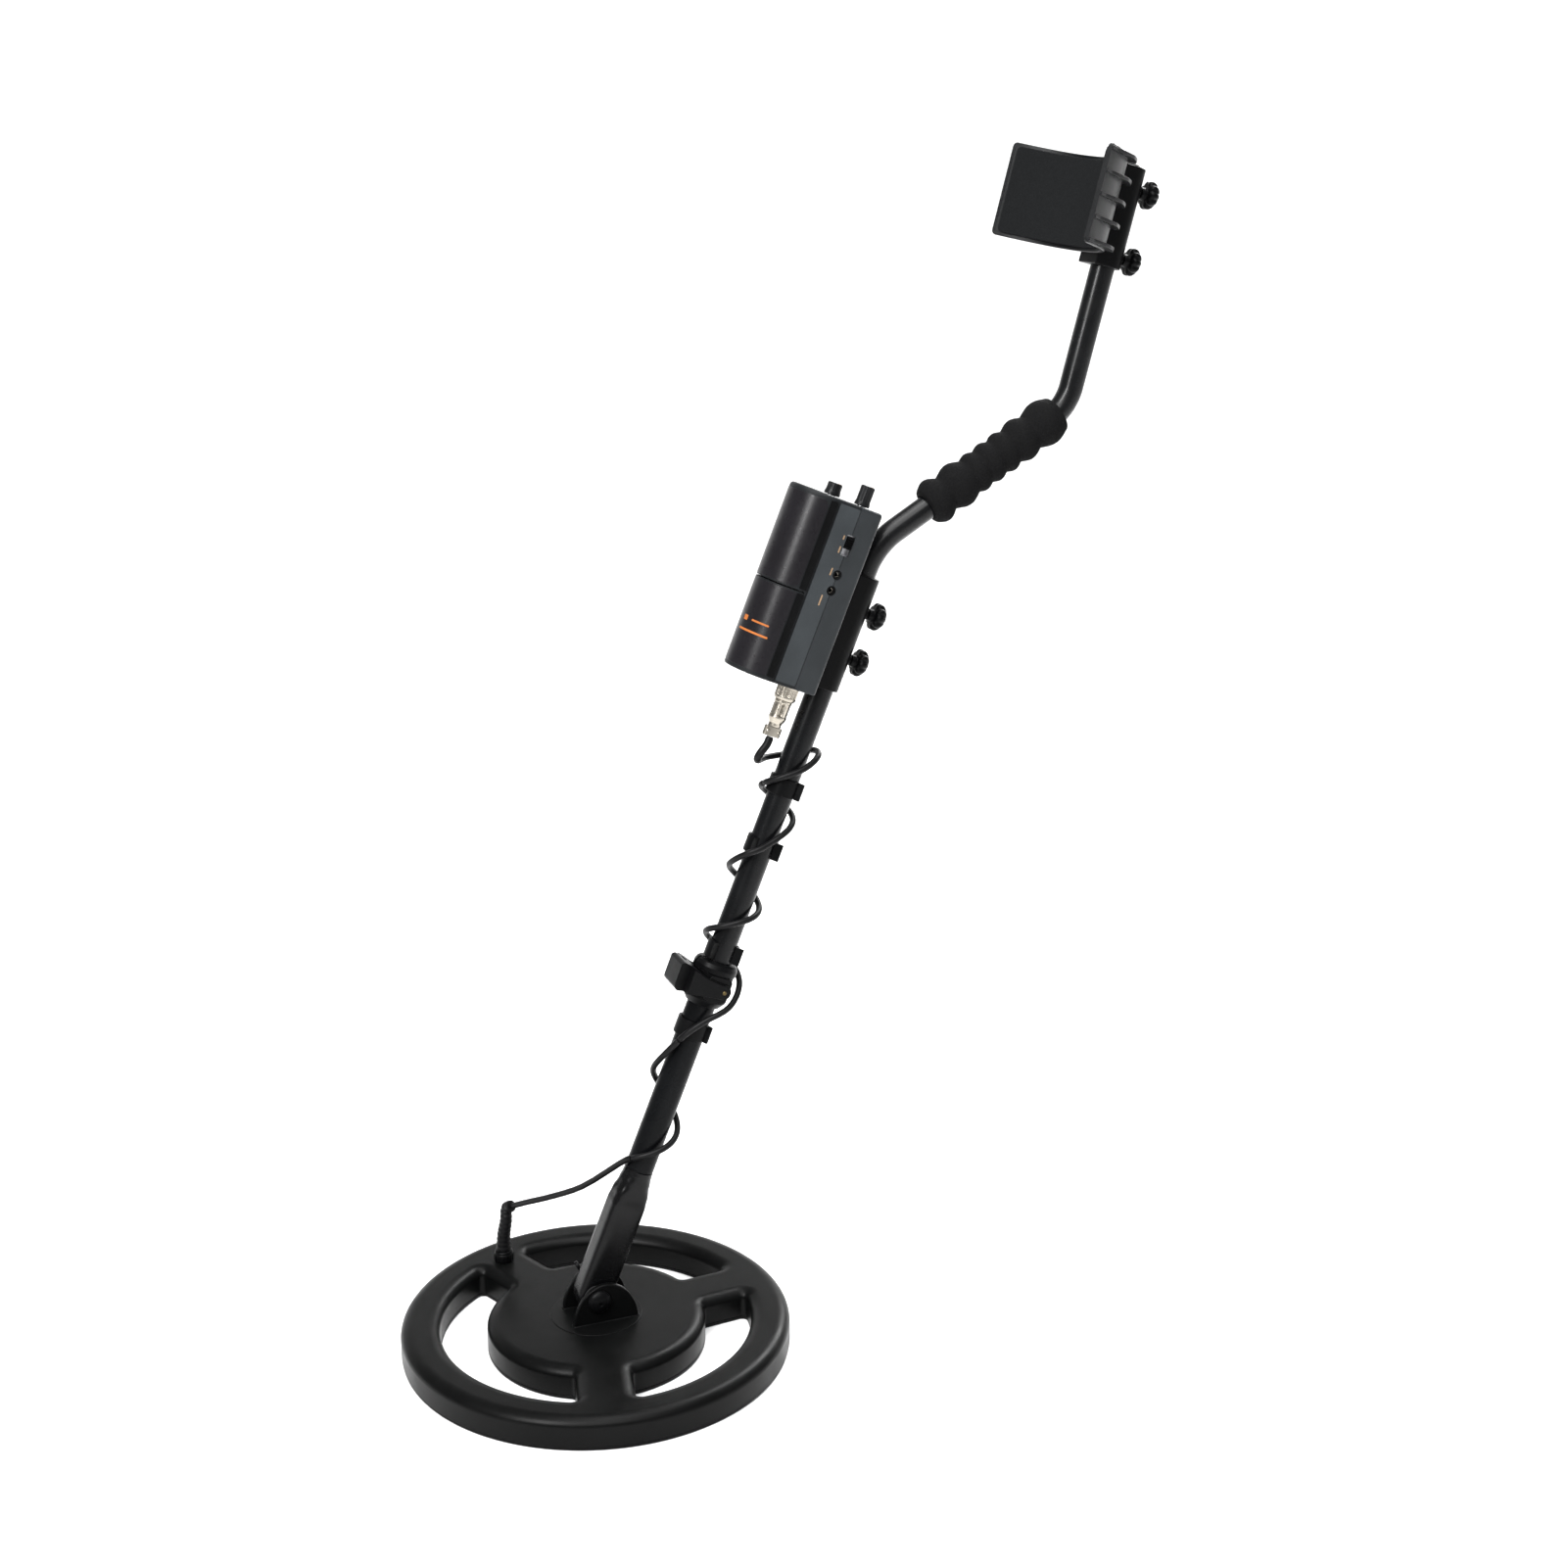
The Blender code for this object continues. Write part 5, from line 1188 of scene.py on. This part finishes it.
def make_plug():
    """Panel socket, the lead's plug with its knurled ring nut, and the two-screw cable clamp."""
    axis = middle_of("plug_body", STEM)
    place = STEM @ shift(0, axis.y, 0)
    low, high = extent("coil_socket", STEM)
    bottom = extent("rear_case", STEM)[0].z
    profile = [(0.0065, high.z), (0.0065, bottom + 0.0023), (0.0050, bottom + 0.0023), (0.0050, low.z),
               (0.0040, low.z), (0.0040, high.z)]
    shell = lathe(filleted(profile, 0.0002, 2), 48, closed=True)
    piece("socket_shell", shell, "control_box", NICKEL, place, ["coil_socket"])

    low, high = extent("plug_ring_nut", STEM)
    a, b, r = low.z, high.z, RING_NUT_R
    profile = [(0.0053, b), (r - 0.0004, b), (r, b - 0.0006), (r, b - 0.0018), (r - 0.0002, b - 0.0022),
               (r - 0.0002, a + 0.0028), (r, a + 0.0024), (r, a + 0.0014), (r - 0.0006, a), (0.0050, a),
               (0.0050, a + 0.0035), (0.0053, a + 0.0035)]

    def knurl(angle, radius, height):
        inside = a + 0.0027 < height < b - 0.0021
        return radius + (0.00016 * math.copysign(1, math.cos(36 * angle)) if inside and radius > 0.007 else 0)
    piece("ring_nut", lathe(profile, 144, knurl, closed=True), "plug_ring_nut", NICKEL, place,
          ["plug_ring_nut"])

    low, high = extent("plug_body", STEM)
    neck, b = a - 0.0004, high.z
    a = low.z
    profile = [(0.0037, b), (0.0037, b - 0.0030), (0.0049, b - 0.0030), (0.0049, b - 0.0050),
               (0.0046, b - 0.0050), (0.0046, neck), (0.0061, neck), (0.0063, neck - 0.0003),
               (0.0063, neck - 0.0016), (0.0060, neck - 0.0020), (0.0060, a + 0.0078), (0.0063, a + 0.0074),
               (0.0063, a + 0.0062), (0.0056, a + 0.0044), (0.0046, a + 0.0022), (0.0046, a), (0.0026, a),
               (0.0026, b)]

    def slots(angle, radius, height):
        inside = a + 0.0080 < height < neck - 0.0021
        groove = max(0.0, math.cos(4 * angle + 0.9)) ** 3 if inside and radius > 0.0055 else 0.0
        return radius - 0.0016 * groove
    shell = filleted(profile, 0.0002, 2)
    dense = []
    for one, two in zip(shell, shell[1:] + shell[:1]):
        steps = max(1, round(math.dist(one, two) / 0.0008))
        dense += [(one[0] + (two[0] - one[0]) * i / steps, one[1] + (two[1] - one[1]) * i / steps)
                  for i in range(steps)]
    piece("plug_shell", lathe(dense, 96, slots, closed=True), "control_box", NICKEL,
          place, ["plug_body"])

    low, high = extent("plug_cable_clamp", STEM)
    rear_lobe = arc((0, CLAMP_REACH), CLAMP_LOBE_R, 15, 165, 12)
    front_lobe = arc((0, -CLAMP_REACH), CLAMP_LOBE_R, 195, 345, 12)
    waist = [(-CLAMP_WAIST, 0.0020), (-CLAMP_WAIST, -0.0020)]
    outline = rear_lobe + waist + front_lobe + [(-x, -y) for x, y in waist]
    clamp = slab([outline, circle(0.0025, 32)], low.z, high.z, 0.0004, steps=3)
    screws = []
    profile = [(0, 0.0011), (0.0009, 0.0010), (0.0014, 0.0005), (0.0014, 0), (0.0008, 0), (0.0008, -0.002),
               (0, -0.002)]
    head = carved(lathe(profile, 28), [block((-0.0002, -0.002, 0.0006), (0.0002, 0.002, 0.002))])
    for y in (-CLAMP_REACH, CLAMP_REACH):
        screws.append(moved(head, shift(0.0024, y, (low.z + high.z) / 2) @ Z_TO_X))
    piece("cable_clamp", joined(clamp, *screws), "control_box", NICKEL_SHADE, place,
          ["plug_cable_clamp"])


# ---------------------------------------------------------------- clamp brackets, knobs and cuff
CLAMPED = (("box", "control_box", STEM, MIDDLE_R), ("cuff", "cuff", ARM, BENT_R))


def knob_height(prefix, label, place):
    return (place.inverted() @ Vector(JOINTS[f"{prefix}_knob_{label}_spin"]["pos_m"])).z


def make_brackets():
    for prefix, body, place, tube_r in CLAMPED:
        low, high = extent(f"{prefix}_bracket", place)
        r = high.x
        outline = [(r, low.y)] + arc((0, 0), r, 0, 180, 40) + [(-r, low.y)]
        outline = filleted(outline, [0.0008] + [0] * 41 + [0.0008], 4)
        shape = slab([outline, circle(tube_r + 0.0004, 64)], low.z, high.z, 0.0008, steps=3)
        heights = [knob_height(prefix, label, place) for label in ("lower", "upper")]
        screws = [rod(0.0028, (0, 0.005, z), (0, 0.02, z), 32) for z in heights]
        piece(f"{body}_bracket", carved(shape, screws, soften=0.0003), body, FITTING,
              place, [f"{prefix}_bracket"])


KNOB_LOBES = 10
KNOB_R = 0.0098
KNOB_T = 0.0088
KNOB_HUB_R = 0.0045


def knob_lobes(angle, radius, height):
    share = max(0.0, (radius - KNOB_HUB_R) / (KNOB_R - KNOB_HUB_R))
    valley = (0.5 - 0.5 * math.cos(KNOB_LOBES * angle)) ** 1.6
    return radius - 0.0012 * valley * share


def make_knobs():
    for prefix, _, place, _ in CLAMPED:
        for label in ("lower", "upper"):
            node = f"{prefix}_clamp_knob_{label}"
            low, high = extent(node, place)
            face = high.y - KNOB_T
            tip = low.y - face
            crown = [(0, 0.0006), (0.0024, 0.0006), (0.0036, 0.0003), (0.0050, 0.0), (0.0066, 0.0007),
                     (0.0080, 0.0018), (0.0090, 0.0030), (0.0096, 0.0042), (KNOB_R, 0.0052)]
            profile = [(radius, KNOB_T - drop) for radius, drop in crown]
            profile += [(KNOB_R, 0.0026), (0.0094, 0.0014), (0.0084, 0.0005), (0.0070, 0.0), (0.0048, 0.0),
                        (KNOB_HUB_R, -0.0006), (0.0040, -0.0032), (0.0037, -0.0035), (0.0025, -0.0035),
                        (0.0025, tip + 0.0005), (0.0020, tip), (0, tip)]
            piece(f"{node}_lobed", lathe(profile, KNOB_LOBES * 14, knob_lobes), node, FITTING,
                  place @ shift(0, face, knob_height(prefix, label, place)) @ Z_TO_BACK,
                  [node], smooth=50)


CUFF_HALF = 0.0680
CUFF_FLOOR = 0.0150
CUFF_RIM = 0.0555
CUFF_T = 0.0030
CUFF_CORNER = 0.0030
PAD_GAP = 0.0009
PAD_T = 0.0020
RIBS = 5
RIB_T = 0.0024


def cuff_line(reach, count=120):
    """The cuff's middle surface in its frame (x, y), from the -X rim to the +X rim."""
    points = []
    for i in range(count + 1):
        share = math.sin(math.pi / 2 * (2 * i / count - 1))
        x = reach * share
        points.append((x, -(CUFF_FLOOR + (CUFF_RIM - CUFF_FLOOR) * (abs(x) / CUFF_HALF) ** 2.4)))
    return points


def offset_line(line, distances):
    """The line moved to its right by a distance for each point."""
    result = []
    for i, point in enumerate(line):
        way = Vector(line[min(i + 1, len(line) - 1)]) - Vector(line[max(i - 1, 0)])
        way.normalize()
        result.append((point[0] + way.y * distances[i], point[1] - way.x * distances[i]))
    return result


def make_cuff():
    a, b = (corner.z for corner in extent("arm_cuff", ARM))
    line = cuff_line(CUFF_HALF)
    shapes = [curved_plate(line, a, b, -CUFF_T / 2, CUFF_T / 2, CUFF_CORNER, 0.0005)]
    count = len(line)
    for side in (-1, 1):
        wall = line[:int(count * 0.36)] if side < 0 else line[int(count * 0.64):]
        shares = [abs(x) / CUFF_HALF for x, _ in wall]
        depths = [0.0014 + 0.0046 * min(1.0, max(0.0, (0.94 - s) / 0.22)) for s in shares]
        outer = offset_line(wall, [-(CUFF_T / 2 + d) for d in depths])
        outline = offset_line(wall, [-CUFF_T * 0.3] * len(wall)) + outer[::-1]
        pitch = (b - a - RIB_T - 0.0030) / (RIBS - 1)
        for i in range(RIBS):
            z = a + 0.0015 + i * pitch
            shapes.append(slab([outline], z, z + RIB_T, 0.0004, steps=2))
    piece("cuff_shell", joined(*shapes), "cuff", CUFF, ARM, ["arm_cuff"], smooth=38)
    for side in (-1, 1):
        start, end = (2, 7) if side < 0 else (count - 8, count - 2)
        lip = curved_plate(line[start:end], a + 0.0030, b - 0.0030, -CUFF_T / 2 - 0.0007,
                           -CUFF_T / 2 + 0.0002, 0.0006, 0.0002)
        piece(f"cuff_lip_{'right' if side > 0 else 'left'}", lip, "cuff", CUFF, ARM)

    low, high = extent("cuff_pad", ARM)
    pad = curved_plate(cuff_line(CUFF_HALF * 0.965), low.z, high.z, -CUFF_T / 2 - PAD_GAP - PAD_T,
                       -CUFF_T / 2 - PAD_GAP, 0.0030, 0.0006)
    padding = piece("cuff_padding", pad, "cuff", PAD, ARM, ["cuff_pad"], smooth=50)


# ---------------------------------------------------------------- coil lead
CABLE_R = 0.00225
LEAD_GAP = 0.0010
LEAD_HEAD = 0.0600
LEAD_STEP = 0.0015
BOOT_TIP = Vector((-0.0955, -0.0365, 0.0685))
TAIL_WAY = Vector((0.7430, 0.4418, 0.5020))
# The lead's winding, downwards: height on the stem, angle and radius about the tube's axis.
# 0 is the front of the tube, -90 the -X side, -180 the back, -270 the +X side.
WRAP = [(0.4070, -90, 0.0145), (0.4170, -180, 0.0155), (0.4010, -270, 0.0135), (0.3850, -360, 0.0150),
        (0.3760, -450, 0.0140), (0.3670, -540, 0.0155), (0.3480, -630, 0.0135), (0.3385, -668, 0.0182),
        (0.3250, -720, 0.0170), (0.3125, -810, 0.0140), (0.3000, -900, 0.0150), (0.2880, -990, 0.0135),
        (0.2745, -1080, 0.0150), (0.2620, -1170, 0.0155), (0.2540, -1215, 0.0190), (0.2440, -1260, 0.0215),
        (0.2270, -1305, 0.0205), (0.2130, -1350, 0.0158), (0.2000, -1385, 0.0152), (0.1720, -1440, 0.0160),
        (0.1500, -1530, 0.0145), (0.1290, -1620, 0.0165), (0.1110, -1710, 0.0150), (0.0985, -1780, 0.0145)]
STRETCHES = (("lead_at_plug", 0.3850), ("lead_on_middle_tube", 0.2620), ("lead_at_lock", 0.1950),
             ("lead_on_lower_tube", 0.1010), ("lead_to_coil", None))


def lead_route():
    front = middle_of("plug_body", STEM).y
    local = [(0, front, 0.4175), (0.0005, front - 0.0005, 0.4110), (0.0005, front - 0.0030, 0.4035),
             (-0.0030, front - 0.0015, 0.3985), (-0.0110, front + 0.0080, 0.4010)]
    for z, angle, radius in smooth_path([(z, angle / 1000, radius) for z, angle, radius in WRAP], 5):
        t = math.radians(angle * 1000)
        local.append((radius * math.sin(t), -radius * math.cos(t), z))
    tail = [BOOT_TIP + TAIL_WAY * reach + Vector((0, 0, -sag))
            for reach, sag in ((0.085, 0.0035), (0.045, 0.0030), (0.018, 0.0010), (0.0, 0.0))]
    return smooth_path([STEM @ Vector(p) for p in local] + tail, 4)


def make_lead():
    route = lead_route()
    back = STEM.inverted()
    stops, total, limits = [0.0], 0.0, [limit for _, limit in STRETCHES if limit]
    for previous, point in zip(route, route[1:]):
        total += (point - previous).length
        while limits and total > LEAD_HEAD and (back @ point).z <= limits[0]:
            stops.append(total)
            limits.pop(0)
    stops.append(total)
    for (name, _), start, end in zip(STRETCHES, stops, stops[1:]):
        path = along(route, LEAD_STEP, start + LEAD_GAP / 2, end - LEAD_GAP / 2)
        rim = 0.3 / len(path)

        def radius(share):
            sleeve = 0.0006 * min(1.0, max(0.0, (0.24 - share) / 0.10)) if name == "lead_at_plug" else 0.0
            return CABLE_R + sleeve - 0.0004 * max(0.0, 1 - min(share, 1 - share) / rim)
        obj = linked(f"{name}_cable", sweep(path, radius, 18))
        clean(obj)
        obj.data.materials.append(CABLE)
        obj.data.shade_smooth()
        obj.data.set_sharp_from_angle(angle=math.radians(50))
        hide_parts(name)
        if name == "lead_at_plug":
            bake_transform(obj)
        elif name == "lead_at_lock":
            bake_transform(obj)
        elif name == "lead_to_coil":
            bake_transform(obj)
        else:
            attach(obj, "upper_stem" if name == "lead_on_middle_tube" else "lower_stem")


# ---------------------------------------------------------------- CAD nodes that stay as they are
CARRIED = {"transmit_winding": COPPER, "receive_winding": COPPER, "circuit_board": BOARD, "speaker": DARK,
           "front_dial_control": ZINC, "rear_dial_control": ZINC, "power_switch_body": ZINC,
           "battery": BATTERY, "battery_snap": FITTING,
           **{f"case_screw_{number}": ZINC for number in range(1, 5)}}


def dress_carried():
    for node, finish in CARRIED.items():
        obj = frame["nodes"][node]
        obj.data.materials.clear()
        obj.data.materials.append(finish)
        bevel = obj.modifiers.new("edges", "BEVEL")
        bevel.width = 0.0002
        bevel.segments = 2
        bevel.limit_method = "ANGLE"


make_camera()
make_studio()
make_coil()
make_pivot()
make_gland()
make_yoke()
make_tubes()
make_cam_lock()
make_clips()
make_grip()
make_box()
make_controls()
make_plug()
make_brackets()
make_knobs()
make_cuff()
make_lead()
dress_carried()
